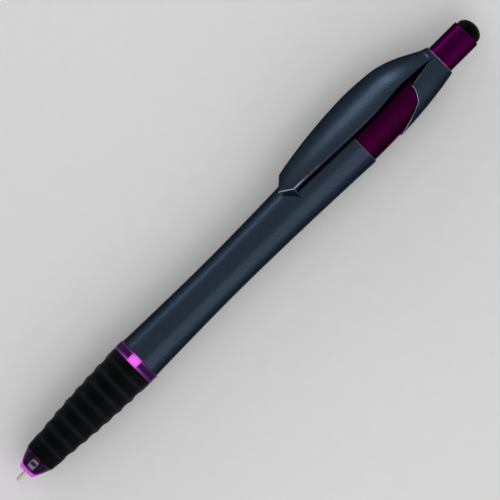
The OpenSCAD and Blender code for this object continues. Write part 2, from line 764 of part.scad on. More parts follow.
module ring_led() {
    color(white) laid() lamp(ring_lamp_w, ring_lamp_len, flex_high + flex_t, ring_lamp_z);
}

module resistor() {
    end_len = resistor_len / 5;
    body_h = 0.9 * lamp_h;
    low = flex_high + flex_t;
    color(black) laid() union() {
        block(resistor_w / 2, low, low + body_h, resistor_z - resistor_len / 2 + end_len,
            resistor_z + resistor_len / 2 - end_len);
        block(resistor_w / 2, low, low + lamp_h, resistor_z - resistor_len / 2,
            resistor_z - resistor_len / 2 + end_len);
        block(resistor_w / 2, low, low + lamp_h, resistor_z + resistor_len / 2 - end_len,
            resistor_z + resistor_len / 2);
    }
}

module contact_rails() {
    rail_len = z_rail_end - z_rail;
    color(gold) laid() for (side = [0, 1]) {
        mirror([side, 0, 0]) translate([rail_in, rail_low, z_rail]) cube([rail_w, rail_t, rail_len]);
    }
}

module battery_carriage() {
    color(black) laid() difference() {
        union() {
            round_at(carriage_r, z_carriage, z_carriage_end);
            round_at(boss_d / 2, z_boss, z_carriage + carriage_front / 2);
        }
        round_at(carriage_in_r, z_plate, z_carriage_end + past);
        round_at(tube_r + seat_gap, z_boss - past, z_carriage);
        block(strip_half + slide_gap, strip_low - slide_gap, wide, z_carriage - past, z_carriage_end + past);
        translate([-rail_out - slide_gap, wiper_top - wiper_t - slide_gap, z_carriage - past])
            cube([rail_w + 2 * slide_gap, wiper_t + 2 * slide_gap, carriage_front + 2 * past]);
    }
}

module carriage_cap() {
    color(black) laid() difference() {
        union() {
            round_at(carriage_in_r - seat_gap, z_lid, z_carriage_end);
            round_at(carriage_r, z_carriage_end, z_lid_end);
        }
        round_at(pivot_d / 2 + slide_gap, z_rotor - pivot_len - clear_gap, z_lid_end + past);
    }
}

// Each cell has a narrow negative face in front and a wide can behind it, and a hair's gap to the next
module button_cells() {
    r = cell_d / 2;
    cap_in = 0.8;
    cap_h = 0.3;
    edge = 0.25;
    color(steel) laid() for (i = [0 : cell_count - 1]) {
        z = z_cells + i * cell_h;
        end = z + cell_h - seat_gap;
        turned([[0, z], [r - cap_in, z], [r - cap_in, z + cap_h], [r - edge, z + cap_h],
            [r, z + cap_h + edge], [r, end - edge], [r - edge, end], [0, end]]);
    }
}

// Plate behind the cells, a strip along the top of the carriage and a wiper finger
module positive_contact() {
    foot_low = wiper_top - wiper_t;
    z_foot = z_carriage - contact_t;
    color(gold) laid() union() {
        round_at(contact_r, z_cells_end, z_cells_end + contact_t);
        block(strip_half, 0, strip_top, z_cells_end, z_cells_end + contact_t);
        block(strip_half, strip_low, strip_top, z_foot, z_cells_end + contact_t);
        block(strip_half, foot_low, strip_top, z_foot, z_carriage);
        translate([-strip_half, foot_low, z_foot]) cube([rail_out + strip_half, wiper_t, contact_t]);
        translate([rail_in, foot_low, z_wiper]) cube([rail_w, wiper_t, z_carriage - z_wiper]);
    }
}

// Plate in front of the cells with a wiper finger through the carriage's front wall
module negative_contact() {
    color(gold) laid() union() {
        round_at(contact_r, z_plate, z_plate + contact_t);
        translate([-rail_out, wiper_top - wiper_t, z_wiper])
            cube([rail_w, wiper_t, z_plate + contact_t - z_wiper]);
    }
}

// A dished washer presses the cells against their rear contact
module cell_spring() {
    in_r = contact_r / 2;
    low = z_plate + contact_t + seat_gap;
    high = z_cells - seat_gap;
    color(steel) laid()
        turned([[in_r, low], [contact_r - washer_t, high - washer_t], [contact_r - washer_t, high],
            [in_r, low + washer_t]]);
}

nose_cone();
grip_core();
rubber_grip();
light_ring();
barrel();
upper_sleeve();
clip_cap();
clip();
plunger();
stylus_tip();
cam_rotor();
refill_point();
writing_ball();
ink_tube();
ink();
return_spring();
flex_circuit();
nose_led();
ring_led();
resistor();
contact_rails();
battery_carriage();
carriage_cap();
button_cells();
positive_contact();
negative_contact();
cell_spring();
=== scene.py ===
# %% [markdown]
# # A light-up stylus pen
# The pen is already there as a frame of plain solids: nose, grip, ring, barrel, sleeve, cap, clip,
# button, and the refill, lamps and cells inside. This lesson dresses that frame in Blender. Pieces that
# show get smooth new meshes in the same place, hidden ones keep their solids, and every piece gets a
# finish made of nodes. The pen lies along X with its writing point at the origin, and Z is up.

# %% Load the frame
from functools import partial
from math import cos, pi, radians, sin, sqrt, tan

import bmesh
import bpy
import numpy as np
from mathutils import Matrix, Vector
from mathutils.bvhtree import BVHTree


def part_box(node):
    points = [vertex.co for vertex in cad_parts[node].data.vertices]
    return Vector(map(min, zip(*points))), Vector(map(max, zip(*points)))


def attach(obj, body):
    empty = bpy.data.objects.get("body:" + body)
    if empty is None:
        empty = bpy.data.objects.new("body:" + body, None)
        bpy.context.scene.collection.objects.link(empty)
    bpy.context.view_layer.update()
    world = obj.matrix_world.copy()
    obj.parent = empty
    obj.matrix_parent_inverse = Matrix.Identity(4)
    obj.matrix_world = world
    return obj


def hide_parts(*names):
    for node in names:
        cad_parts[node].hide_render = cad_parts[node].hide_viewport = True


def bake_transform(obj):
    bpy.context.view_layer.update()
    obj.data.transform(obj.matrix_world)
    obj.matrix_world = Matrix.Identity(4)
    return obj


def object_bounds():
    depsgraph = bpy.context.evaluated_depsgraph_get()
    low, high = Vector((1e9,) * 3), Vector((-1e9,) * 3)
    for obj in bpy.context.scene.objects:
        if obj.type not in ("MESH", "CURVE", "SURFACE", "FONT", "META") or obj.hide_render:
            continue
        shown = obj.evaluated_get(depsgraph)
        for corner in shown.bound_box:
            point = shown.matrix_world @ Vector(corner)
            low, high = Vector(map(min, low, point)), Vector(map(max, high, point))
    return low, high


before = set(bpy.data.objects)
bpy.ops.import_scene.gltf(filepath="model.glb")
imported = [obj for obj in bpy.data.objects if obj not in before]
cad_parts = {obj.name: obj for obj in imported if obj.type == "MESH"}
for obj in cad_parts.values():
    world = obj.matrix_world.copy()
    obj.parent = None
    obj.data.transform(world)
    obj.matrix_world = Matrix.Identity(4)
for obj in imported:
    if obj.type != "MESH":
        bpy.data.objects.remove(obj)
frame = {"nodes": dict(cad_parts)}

MM = 0.001
cad_low, cad_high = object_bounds()
print("solids:", len(frame["nodes"]), "nodes,", round((cad_high.x - cad_low.x) / MM, 1), "mm long")

# %% [markdown]
# ## Sizes from the frame
# Every place along the pen can be read from the boxes of the solids, so nothing is fitted by eye. Radii
# are read with a ray: it starts beside the pen, on the side away from the clip, and stops at the skin.
# That is better than a table of numbers, because the pieces follow if the solids change. All sizes in
# this script are millimetres until a mesh is made.

# %% Read stations and radii
AWAY = Vector((0, -1, -1)).normalized()
OUTSIDE, NEAR = 50, 0.15
ray_trees = {}


def ends(node):
    """Stations of a solid's front and rear end."""
    low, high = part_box(node)
    return low.x / MM, high.x / MM


def skin(node, station, inside=False, toward=AWAY):
    """Radius of a solid at a station: its outer skin, or the first wall met from the axis."""
    if node not in ray_trees:
        mesh = frame["nodes"][node].data
        faces = [face.vertices for face in mesh.polygons]
        ray_trees[node] = BVHTree.FromPolygons([corner.co for corner in mesh.vertices], faces)
    start, way = Vector((station * MM, 0, 0)), toward
    if not inside:
        start, way = start + toward * (OUTSIDE * MM), -toward
    return ray_trees[node].ray_cast(start, way)[0].yz.length / MM


def mm(size):
    """A size as it is printed."""
    return f"{size:.2f} mm"


barrel_front, barrel_rear = ends("barrel")
cap_front, cap_rear = ends("clip_cap")
cap_end_r = skin("clip_cap", cap_rear - NEAR)
print("barrel from", mm(barrel_front), "to", mm(barrel_rear), "and cap end radius", mm(cap_end_r))

# %% [markdown]
# ## Meshes woven from rings
# Nearly all of a pen is round, so most pieces are a grid of points: each row is a ring around the pen,
# and neighbouring rows are joined by faces. A Screw modifier could do the plain ones, but a grid made in
# code also takes pieces whose rows change around the pen, such as a cap cut at a slant. Rows of radius
# zero fall together and close the ends, and the sign of the volume says if the faces point outwards.
# A number stored on each point, such as an edge's wear and painted highlight, can be read later by a
# material.

# %% Weave a mesh
SHARP = 32


def woven(name, rings, marks, loop=True, sharp=SHARP):
    """A closed mesh from rows of ring points, in millimetres; loop joins the last row to the first."""
    rings = np.asarray(rings, float)
    rows, columns = rings.shape[:2]
    index = np.arange(rows * columns).reshape(rows, columns)
    after = np.roll(index, -1, axis=0)
    if not loop:
        index, after = index[:-1], after[:-1]
    across, beyond = np.roll(index, -1, axis=1), np.roll(after, -1, axis=1)
    faces = np.stack([index, across, beyond, after], axis=-1).reshape(-1, 4).tolist()
    if not loop:
        last = (rows - 1) * columns
        faces += [list(range(columns)), list(range(last, last + columns))[::-1]]
    mesh = bpy.data.meshes.new(name)
    mesh.from_pydata((rings.reshape(-1, 3) * MM).tolist(), [], faces)
    for label, values in marks.items():
        full = np.broadcast_to(np.asarray(values, float).reshape(rows, -1), (rows, columns))
        mesh.attributes.new(label, "FLOAT", "POINT").data.foreach_set("value", full.ravel())
    return tidied(bpy.data.objects.new(name, mesh), sharp)


print("edges over", SHARP, "degrees stay sharp")

# %% Clean and shade a mesh
WELD = 1e-7


def shaded(piece, sharp=SHARP):
    """Shade a piece smooth between its sharp edges, and put it in the scene."""
    piece.data.shade_smooth()
    piece.data.set_sharp_from_angle(angle=radians(sharp))
    if piece.name not in bpy.context.scene.collection.objects:
        bpy.context.scene.collection.objects.link(piece)
    return piece


def tidied(piece, sharp=SHARP):
    """Merge doubles, turn the faces outwards and shade a piece."""
    body = bmesh.new()
    body.from_mesh(piece.data)
    bmesh.ops.remove_doubles(body, verts=body.verts, dist=WELD)
    bmesh.ops.dissolve_degenerate(body, edges=body.edges, dist=WELD / 10)
    if body.calc_volume(signed=True) < 0:
        bmesh.ops.reverse_faces(body, faces=body.faces)
    loose = sum(len(edge.link_faces) != 2 for edge in body.edges)
    body.to_mesh(piece.data)
    body.free()
    print(piece.name, len(piece.data.polygons), "faces,", loose, "open edges")
    return shaded(piece, sharp)


print(f"points closer than {WELD / MM:g} mm are merged")

# %% Round the corners of an outline
ROUND_STEPS, ROUND_MOST = 5, 0.45


def rounded(corners):
    """Points of an outline whose corners are (station, radius, rounding), and how much wear and painted
    highlight each point gets.
    """
    spots = [np.array(corner[:2], float) for corner in corners]
    points, worn = [], []
    for place, corner in enumerate(corners):
        here = spots[place]
        if len(corner) < 3:
            points.append(here)
            worn.append(0)
            continue
        start, end = (
            here + (other - here) * min(corner[2] / np.linalg.norm(other - here), ROUND_MOST)
            for other in (spots[place - 1], spots[(place + 1) % len(spots)]))
        # the middle of each rounded corner is marked most, for wear and a painted edge highlight
        for step in np.linspace(0, 1, ROUND_STEPS + 1):
            points.append((1 - step) ** 2 * start + 2 * step * (1 - step) * here + step ** 2 * end)
            worn.append(sin(pi * step))
    return np.array(points), np.array(worn)


print("a rounded corner has", ROUND_STEPS + 1, "points")

# %% Turn an outline around the axis
SIDES = 160


def ring_points(stations, radii, angles):
    """Points around the pen: angles are measured from up (+Z) towards +Y."""
    stations, radii, angles = np.broadcast_arrays(stations, radii, angles)
    return np.stack([stations, radii * np.sin(angles), radii * np.cos(angles)], axis=-1)


def around(sides):
    """Evenly spaced angles of one full ring."""
    return np.linspace(0, 2 * pi, sides, endpoint=False)


def turned(name, corners, sides=SIDES, loop=True, highlight_share=1.0):
    """A turned piece: an outline of corners spun around the pen's axis, its softened edges marked for wear
    and a painted highlight.
    """
    points, worn = rounded(corners)
    rings = ring_points(points[:, :1], points[:, 1:], around(sides)[None, :])
    return woven(name, rings, {"worn": worn * highlight_share}, loop)


def curve_of(radius_at, start, end, count):
    """Corners along a curved wall, from one station to another."""
    return [(station, radius_at(station)) for station in np.linspace(start, end, count)]


print("a turned piece has", SIDES, "sides, if nothing else is said")

# %% Fit a piece into the frame
def fitted(piece, finish, body, node):
    """Give a piece its finish, let it ride on a body and stand for the solid that it replaces."""
    piece.data.materials.clear()
    piece.data.materials.append(finish)
    if body:
        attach(piece, body)
    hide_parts(node)


print("solids that a piece can stand for:", ", ".join(frame["nodes"]))

# %% [markdown]
# ## Node trees by short calls
# A material or a Geometry Nodes tree is a set of nodes and links. Written out in full, each node takes
# five lines, which hides the idea. A few small helpers keep a tree readable: one adds a node with its
# values, one does a sum, others mix two colours or make a noise, and one starts a group with named
# sockets. Where one tree needs many nodes, partial from Python's functools fills in the tree once.

# %% Add nodes and links
def plug(tree, value, socket):
    """Link a socket to another one, or set its plain value."""
    if isinstance(value, bpy.types.NodeSocket):
        tree.links.new(value, socket)
    else:
        socket.default_value = value


def feed(tree, node, values):
    """Link or set the inputs of a node by name."""
    for label, value in values.items():
        plug(tree, value, node.inputs[label])


def add(tree, kind, values=None, **settings):
    """Add a node, set its options, then its inputs by name."""
    made = tree.nodes.new(kind)
    for label, value in settings.items():
        setattr(made, label, value)
    feed(tree, made, values or {})
    return made


print("nodes can be added, set and linked")

# %% Sums, colours and noise
def calc(tree, operation, *values):
    """One sum of up to three values."""
    return add(tree, "ShaderNodeMath", dict(enumerate(values)), operation=operation).outputs[0]


def mixed(tree, mask, under, over):
    """One colour over another, by a mask."""
    return add(tree, "ShaderNodeMix", {0: mask, 6: under, 7: over}, data_type="RGBA").outputs[2]


def toned(tree, colour, tone):
    """A colour made lighter or darker by a value."""
    colour = colour if isinstance(colour, bpy.types.NodeSocket) else colour[:3]
    return add(tree, "ShaderNodeVectorMath", {0: colour, "Scale": tone}, operation="SCALE").outputs[0]


def noise(tree, place, scale, detail, **more):
    """A soft noise, with about so many features to a metre."""
    values = {"Vector": place, "Scale": scale, "Detail": detail, **more}
    return add(tree, "ShaderNodeTexNoise", values).outputs[0]


def ranged(tree, value, start, end, low=0, high=1, **settings):
    """A value brought from one range to another."""
    limits = {"From Min": start, "From Max": end, "To Min": low, "To Max": high}
    return add(tree, "ShaderNodeMapRange", {"Value": value, **limits}, **settings).outputs[0]


print("sums, mixes, tones, noises and ranges take one line each")

# %% Groups and screen colours
def new_group(kind, name, takes, gives):
    """A node group with named sockets; gives back the tree, what it takes and what it gives."""
    tree = bpy.data.node_groups.new(name, kind)
    for way, sockets in (("INPUT", takes), ("OUTPUT", gives)):
        for label, socket in sockets.items():
            tree.interface.new_socket(label, in_out=way, socket_type="NodeSocket" + socket)
    return tree, add(tree, "NodeGroupInput").outputs, add(tree, "NodeGroupOutput").inputs


def screen(red, green, blue):
    """A colour as seen on a screen, 0 to 255, as the linear colour that sockets take."""
    parts = [part / 255 for part in (red, green, blue)]
    return tuple(part / 12.92 if part < 0.04045 else ((part + 0.055) / 1.055) ** 2.4 for part in parts) + (1,)


print("half grey on a screen is", round(screen(128, 128, 128)[0], 3), "in a socket")

# %% [markdown]
# ## Effects that finishes share
# Four effects turn up on more than one piece, so each is a shader group. Flakes are the tiny platelets
# in a metallic lacquer, each a little lighter or darker. Rubbed edges lighten the marked points that the
# meshes carry, in patches: partly wear, partly painted highlights along rims and edges. Handling varies
# the gloss, as fingers do. Grain is a fine noise, which can be stretched into brush lines or turning
# lines. Every pattern reads Object coordinates, in metres, so a scale of 1000 gives features about a
# millimetre wide.

# %% Group: flakes in a lacquer
CLOUDS, CLOUD_DRIFT, PEEL, FLAKE_RISE = 90, 0.22, 1400, 0.25
flakes, taken, given = new_group(
    "ShaderNodeTree", "Lacquer flakes",
    {"Vector": "Vector", "Colour": "Color", "Fineness": "Float", "Sparkle": "Float"},
    {"Colour": "Color", "Height": "Float"})
do = partial(calc, flakes)
platelet = add(flakes, "ShaderNodeTexVoronoi", {"Vector": taken["Vector"], "Scale": taken["Fineness"]})
chance = add(flakes, "ShaderNodeSeparateColor", {"Color": platelet.outputs["Color"]}).outputs[0]
shift = do("MULTIPLY", do("SUBTRACT", chance, 0.5), taken["Sparkle"])
cloud = do("SUBTRACT", noise(flakes, taken["Vector"], CLOUDS, 3), 0.5)
tone = do("ADD", do("MULTIPLY_ADD", cloud, CLOUD_DRIFT, shift), 1)
plug(flakes, toned(flakes, taken["Colour"], tone), given["Colour"])
peel = noise(flakes, taken["Vector"], PEEL, 2)
plug(flakes, do("MULTIPLY_ADD", chance, FLAKE_RISE, peel), given["Height"])
print("group:", flakes.name, len(flakes.nodes), "nodes")

# %% Group: rubbed edges and painted highlights
PATCH_LIFT, EDGE_LIGHT_START, EDGE_LIGHT_END = 0.35, 0.3, 0.75
rubbed_and_lit_edges, taken, given = new_group(
    "ShaderNodeTree", "Rubbed edges and highlights",
    {"Vector": "Vector", "Worn": "Float", "Patch": "Float", "Amount": "Float"}, {"Mask": "Float"})
# marked points turn pale in patches: wear, and painted highlights along edges
patch = calc(rubbed_and_lit_edges, "ADD", noise(rubbed_and_lit_edges, taken["Vector"], taken["Patch"], 4), PATCH_LIFT)
strength = calc(rubbed_and_lit_edges, "MULTIPLY", taken["Worn"], patch)
band = ranged(rubbed_and_lit_edges, strength, EDGE_LIGHT_START, EDGE_LIGHT_END, interpolation_type="SMOOTHSTEP")
plug(rubbed_and_lit_edges, calc(rubbed_and_lit_edges, "MULTIPLY", band, taken["Amount"]), given["Mask"])
print("group:", rubbed_and_lit_edges.name, len(rubbed_and_lit_edges.nodes), "nodes")

# %% Group: gloss changed by handling
SMEARS, DUST, DUST_SHARE, MEAN = 160, 2600, 0.4, 0.7
handling, taken, given = new_group(
    "ShaderNodeTree", "Handling",
    {"Vector": "Vector", "Roughness": "Float", "Spread": "Float"}, {"Roughness": "Float"})
smear = noise(handling, taken["Vector"], SMEARS, 5, Distortion=0.8)
both = calc(handling, "MULTIPLY_ADD", noise(handling, taken["Vector"], DUST, 2), DUST_SHARE, smear)
offset = calc(handling, "SUBTRACT", both, MEAN)
gloss = calc(handling, "MULTIPLY_ADD", offset, taken["Spread"], taken["Roughness"])
plug(handling, gloss, given["Roughness"])
print("group:", handling.name, len(handling.nodes), "nodes")

# %% Group: fine grain
DARK_GRAIN, PALE_GRAIN, DARK_TONE, PALE_TONE = 0.3, 0.7, 0.85, 1.12
grain, taken, given = new_group(
    "ShaderNodeTree", "Fine grain",
    {"Vector": "Vector", "Fineness": "Float", "Stretch": "Vector"}, {"Height": "Float", "Tone": "Float"})
pulled = {0: taken["Vector"], 1: taken["Stretch"]}
stretched = add(grain, "ShaderNodeVectorMath", pulled, operation="MULTIPLY").outputs[0]
speck = noise(grain, stretched, taken["Fineness"], 4, Roughness=0.6)
plug(grain, speck, given["Height"])
plug(grain, ranged(grain, speck, DARK_GRAIN, PALE_GRAIN, DARK_TONE, PALE_TONE), given["Tone"])
print("group:", grain.name, len(grain.nodes), "nodes")

# %% [markdown]
# ## Finish: satin metallic lacquer
# Barrel, cap and clip are sprayed with a slate blue lacquer full of fine metal flakes; the sleeve under
# the clip is plum and the push button a brighter magenta of the same kind. A plain glossy paint would
# pick up a white haze from the pale room. Real flakes reflect the room in their own colour, so the
# shader is mostly Metallic, with a low base colour and a satin roughness, and a grey Specular Tint keeps
# its edges from flaring. Rims and edges are rubbed to the pale plastic underneath, and the same pale
# colour paints highlights along them.

# %% Start a finish
def new_finish(name, sockets):
    """A material with plain values set on its Principled BSDF, and the Object coordinates."""
    material = bpy.data.materials.new(name)
    material.use_nodes = True
    tree = material.node_tree
    shader = tree.nodes["Principled BSDF"]
    feed(tree, shader, sockets)
    return material, tree, shader, add(tree, "ShaderNodeTexCoord").outputs["Object"]


def effect(tree, group, place, **values):
    """One of the shared effects, placed in a finish with its own values."""
    return add(tree, "ShaderNodeGroup", {"Vector": place, **values}, node_tree=group).outputs


def mark(tree, name):
    """A number that the mesh stores on its points."""
    return add(tree, "ShaderNodeAttribute", attribute_name=name).outputs["Fac"]


def bumped(tree, shader, height, depth, strength):
    """Small relief: depth is in millimetres."""
    bump = add(tree, "ShaderNodeBump", {"Strength": strength, "Distance": depth * MM, "Height": height})
    plug(tree, bump.outputs[0], shader.inputs["Normal"])


print("effects for a finish:", flakes.name, rubbed_and_lit_edges.name, handling.name, grain.name)

# %% Build the lacquers
EDGE_TINT = (0.42, 0.42, 0.42, 1)


def lacquer(name, colour, bare_and_highlight, roughness, rub_and_highlight):
    """Metallic lacquer with flakes, edges rubbed to the bare plastic and painted with highlights, and handled
    gloss.
    """
    material, tree, shader, place = new_finish(name, {"Metallic": 1, "Specular Tint": EDGE_TINT})
    fleck = effect(tree, flakes, place, Colour=colour, Fineness=11000, Sparkle=0.5)
    edge = effect(tree, rubbed_and_lit_edges, place, Worn=mark(tree, "worn"), Patch=700, Amount=rub_and_highlight)
    gloss = effect(tree, handling, place, Roughness=roughness, Spread=0.16)
    feed(tree, shader, {"Base Color": mixed(tree, edge["Mask"], fleck["Colour"], bare_and_highlight),
                        "Roughness": gloss["Roughness"]})
    bumped(tree, shader, fleck["Height"], depth=0.012, strength=0.35)
    return material


# the second colour of each lacquer is its bare plastic, which also paints the edge highlights
slate_lacquer = lacquer("slate_lacquer", screen(39, 49, 61), screen(150, 158, 170), roughness=0.28, rub_and_highlight=0.9)
plum_lacquer = lacquer("plum_lacquer", screen(44, 1, 34), screen(122, 60, 112), roughness=0.3, rub_and_highlight=0.6)
button_lacquer = lacquer("button_lacquer", screen(50, 1, 44), screen(130, 50, 118), roughness=0.28, rub_and_highlight=0.18)
print("lacquers:", slate_lacquer.name, plum_lacquer.name, button_lacquer.name)

# %% [markdown]
# ## The barrel
# The barrel is a waisted tube: it narrows from the ring to a waist near the middle and swells towards
# the sleeve. The wall is thin, and its bore steps up for the battery carriage and the sleeve's spigot.
# One outline holds the outside curve, two softened ends and the stepped bore, and is turned in one go.

# %% Rule of the barrel
WAIST_SHARE, FRONT_BOW, REAR_BOW = 0.3593, 1.5, 1.7
waist = barrel_front + WAIST_SHARE * (barrel_rear - barrel_front)
waist_r = skin("barrel", waist)
barrel_front_r, barrel_rear_r = skin("barrel", barrel_front + NEAR), skin("barrel", barrel_rear - NEAR)


def barrel_radius(station):
    """Outside of the barrel: two bowed flanks that meet at the waist."""
    if station < waist:
        share = (waist - station) / (waist - barrel_front)
        return waist_r + (barrel_front_r - waist_r) * min(share, 1) ** FRONT_BOW
    share = (station - waist) / (barrel_rear - waist)
    return waist_r + (barrel_rear_r - waist_r) * share ** REAR_BOW


print("waist radius", mm(waist_r), "at", mm(waist))

# %% Make the barrel
RIM, BARREL_RIM_HIGHLIGHT, BORE_WALK, BORE_STEP = 0.16, 0.85, 0.1, 0.05


def bore_steps(node, start, end):
    """Corners of a stepped bore, found by walking along it from one station to another."""
    stations = np.arange(start, end, BORE_WALK)
    radii = [round(skin(node, station, inside=True), 2) for station in stations]
    corners = [(start, radii[0])]
    for place in range(1, len(stations)):
        if abs(radii[place] - radii[place - 1]) > BORE_STEP:
            halfway = (stations[place] + stations[place - 1]) / 2
            corners += [(halfway, radii[place - 1]), (halfway, radii[place])]
    return corners + [(end, radii[-1])]


bore = bore_steps("barrel", barrel_front + RIM, barrel_rear - RIM)
# the barrel's softened rims are marked for a painted highlight, a pale line along each end, with some wear
barrel = turned("waisted_barrel", [
    (barrel_front, barrel_front_r, RIM),
    *curve_of(barrel_radius, barrel_front + 3 * RIM, barrel_rear - 3 * RIM, 96),
    (barrel_rear, barrel_rear_r, RIM),
    (barrel_rear, bore[-1][1], RIM / 2),
    *reversed(bore[1:-1]),
    (barrel_front, bore[0][1], RIM / 2)], highlight_share=BARREL_RIM_HIGHLIGHT)
fitted(barrel, slate_lacquer, "pen_body", "barrel")
print("steps in the bore:", len(bore) // 2 - 1)

# %% [markdown]
# ## The sleeve and its cap
# A plum sleeve plugs into the barrel, and a slate cap slides over it from behind. The cap's front edge
# leans a little below the clip, turns a soft corner and slants to a rounded tongue on the far side, so
# the plum shows as a window under the clip. Under the clip's root the cap is cut flat. A Boolean could
# cut both shapes, but it leaves ragged shading. Here each column of the cap's grid starts at its own
# edge station, and columns gather along the border of the flat, so the cuts are clean and the rim can
# be softened.

# %% Make the sleeve
CAP_BOW, CHAMBER_SHARE, JOINT = 2.6, 0.8056, 0.02
SLEEVE_ROUND, SPIGOT_ROUND, SLEEVE_EASE, READ_AT = 0.12, 0.2, 0.5, 3
sleeve_front, sleeve_rear = ends("upper_sleeve")
shoulder = barrel_rear + JOINT


def cap_radius(station):
    """Outside of the cap: it leaves the barrel's line and bends in towards the button."""
    share = np.clip((station - barrel_rear) / (cap_rear - barrel_rear), 0, 1)
    return barrel_rear_r - (barrel_rear_r - cap_end_r) * share ** CAP_BOW


inset = cap_radius(shoulder + READ_AT) - skin("upper_sleeve", shoulder + READ_AT)


def sleeve_radius(station):
    """Outside of the sleeve: everywhere the same depth below the cap's line."""
    return cap_radius(station) - inset


spigot_r = skin("upper_sleeve", (sleeve_front + barrel_rear) / 2)
chamber_r = skin("upper_sleeve", sleeve_front + 2, inside=True)
guide_r = skin("upper_sleeve", sleeve_rear - 1, inside=True)
chamber_end = sleeve_front + CHAMBER_SHARE * (sleeve_rear - sleeve_front)
sleeve = turned("plum_sleeve", [
    (sleeve_front, spigot_r, SPIGOT_ROUND), (shoulder, spigot_r),
    (shoulder, sleeve_radius(shoulder), SLEEVE_ROUND),
    *curve_of(sleeve_radius, shoulder + SLEEVE_EASE, sleeve_rear - SLEEVE_EASE, 48),
    (sleeve_rear, sleeve_radius(sleeve_rear), SLEEVE_ROUND),
    (sleeve_rear, guide_r), (chamber_end, guide_r), (chamber_end, chamber_r), (sleeve_front, chamber_r)])
fitted(sleeve, plum_lacquer, "pen_body", "upper_sleeve")
print("sleeve lies", mm(inset), "below the cap")

# %% Rule of the cap's edge
EDGE_LAP, BEND, TONGUE = 0.3, 0.5, 1.0
LEAN_HIGH, LEAN, CORNER_HIGH, SLANT = 3.2, 0.62, 0.7, 1.9
cap_edge = sleeve_rear - EDGE_LAP


def ramp(drop):
    """Zero above a corner and a straight slope below it, with a soft bend between."""
    bend = np.clip((drop + BEND) / (2 * BEND), 0, 1)
    return np.where(drop > BEND, drop, BEND * bend ** 2)


def cap_edge_at(height):
    """Station of the cap's edge at a height towards the clip: it leans, slants and ends in a round tongue."""
    run = LEAN * ramp(LEAN_HIGH - height) + (SLANT - LEAN) * ramp(CORNER_HIGH - height)
    past = cap_edge - run - cap_front
    return cap_front + (past + np.sqrt(past ** 2 + TONGUE ** 2)) / 2


print("cap edge at the height of the axis:", mm(cap_edge_at(0)))

# %% Columns of the cap
BY_CREASE, FIRST_EVEN = np.array([0.0035, 0.008]), 0.014
clip_tip, clip_root = ends("clip")
cap_floor = sleeve_rear + JOINT
flat_high = skin("clip_cap", clip_root - READ_AT, toward=-AWAY)
flat_columns = np.linspace(-1, 1, 29)
round_columns = np.linspace(FIRST_EVEN, 1 - FIRST_EVEN, 200)
columns = np.concatenate([flat_columns, BY_CREASE, round_columns, 1 - BY_CREASE[::-1]])
on_flat = np.arange(len(columns)) < len(flat_columns)


def cap_angles(stations):
    """Angle of every column from the clip's direction: some lie on the flat, the rest on the round."""
    crease = np.arccos(np.clip(flat_high / cap_radius(np.minimum(stations, clip_root)), -1, 1))
    return np.where(on_flat, columns * crease, crease + columns * (2 * pi - 2 * crease))


edge = np.full(len(columns), cap_edge)
for _ in range(40):  # each round brings the edge closer to its own rule
    edge = cap_edge_at(cap_radius(edge) * np.cos(cap_angles(edge)))
edge = np.maximum(edge, cap_front)
edge[on_flat] = cap_floor
print("cap edge from", mm(edge.min()), "to", mm(edge.max()), "and its flat at", mm(flat_high))

# %% Make the cap
CLIP_TURN, CAP_WALL, SLIVER, HOLE_EDGE = radians(45), 0.35, 0.01, 0.1
ROUND, ROUND_UP, ROUND_IN, CLEAR, END_ROUND = 0.12, 0.03, 0.04, 0.3, 0.14
# the cap's front rim, its end and the border of its flat are marked for painted highlights, pale lines along
# these edges, with some wear
CAP_EDGE_HIGHLIGHT, CAP_END_HIGHLIGHT, CREASE_HIGHLIGHT, CREASE_FULL, CREASE_RUN = 0.7, 0.6, 0.6, 1.4, 0.006
hole_r = skin("clip_cap", (cap_floor + cap_rear) / 2, inside=True)
cap_rows, cap_highlight = [], []
from_crease = np.minimum(columns, 1 - columns)
crease_highlight = np.where(on_flat, np.abs(columns) == 1, np.clip(CREASE_FULL - from_crease / CREASE_RUN, 0, 1))


def cap_row(stations, below=0, radius=None, worn=0, crease=0):
    """Add one ring to the cap: on its skin, some way below it, or at a plain radius."""
    stations = np.broadcast_to(stations, columns.shape)
    angles = cap_angles(stations)
    cut = on_flat & (stations <= clip_root)
    outside = np.where(cut, flat_high / np.cos(np.where(cut, angles, 0)), cap_radius(stations))
    radii = outside - below if radius is None else np.minimum(radius, outside)
    cap_rows.append(ring_points(stations, radii, angles + CLIP_TURN))
    cap_highlight.append(np.maximum(worn, crease * crease_highlight))


for rise, below, worn in ((0, CAP_WALL, 0), (0, ROUND, CAP_EDGE_HIGHLIGHT), (ROUND_UP, ROUND_IN, 1),
                          (ROUND, 0, CAP_EDGE_HIGHLIGHT), (CLEAR, 0, 0)):
    cap_row(edge + rise, below, worn=worn)
for along in np.linspace(0, 1, 46)[1:]:
    cap_row(edge + CLEAR + (clip_root - SLIVER - edge - CLEAR) * along, crease=CREASE_HIGHLIGHT)
for along in np.linspace(0, 1, 9):
    cap_row(clip_root + SLIVER + (cap_rear - CLEAR - clip_root) * along)
for back, below, worn in ((END_ROUND, 0, CAP_END_HIGHLIGHT), (ROUND_IN, ROUND_IN, 1), (0, END_ROUND, CAP_END_HIGHLIGHT)):
    cap_row(cap_rear - back, below, worn=worn)
cap_row(cap_rear, radius=hole_r + HOLE_EDGE)
cap_row(cap_rear - HOLE_EDGE, radius=hole_r)
cap_row(cap_floor, radius=hole_r)
cap_row(cap_floor, CAP_WALL)
cap = woven("slanted_cap", cap_rows, {"worn": np.array(cap_highlight)})
fitted(cap, slate_lacquer, "pen_body", "clip_cap")

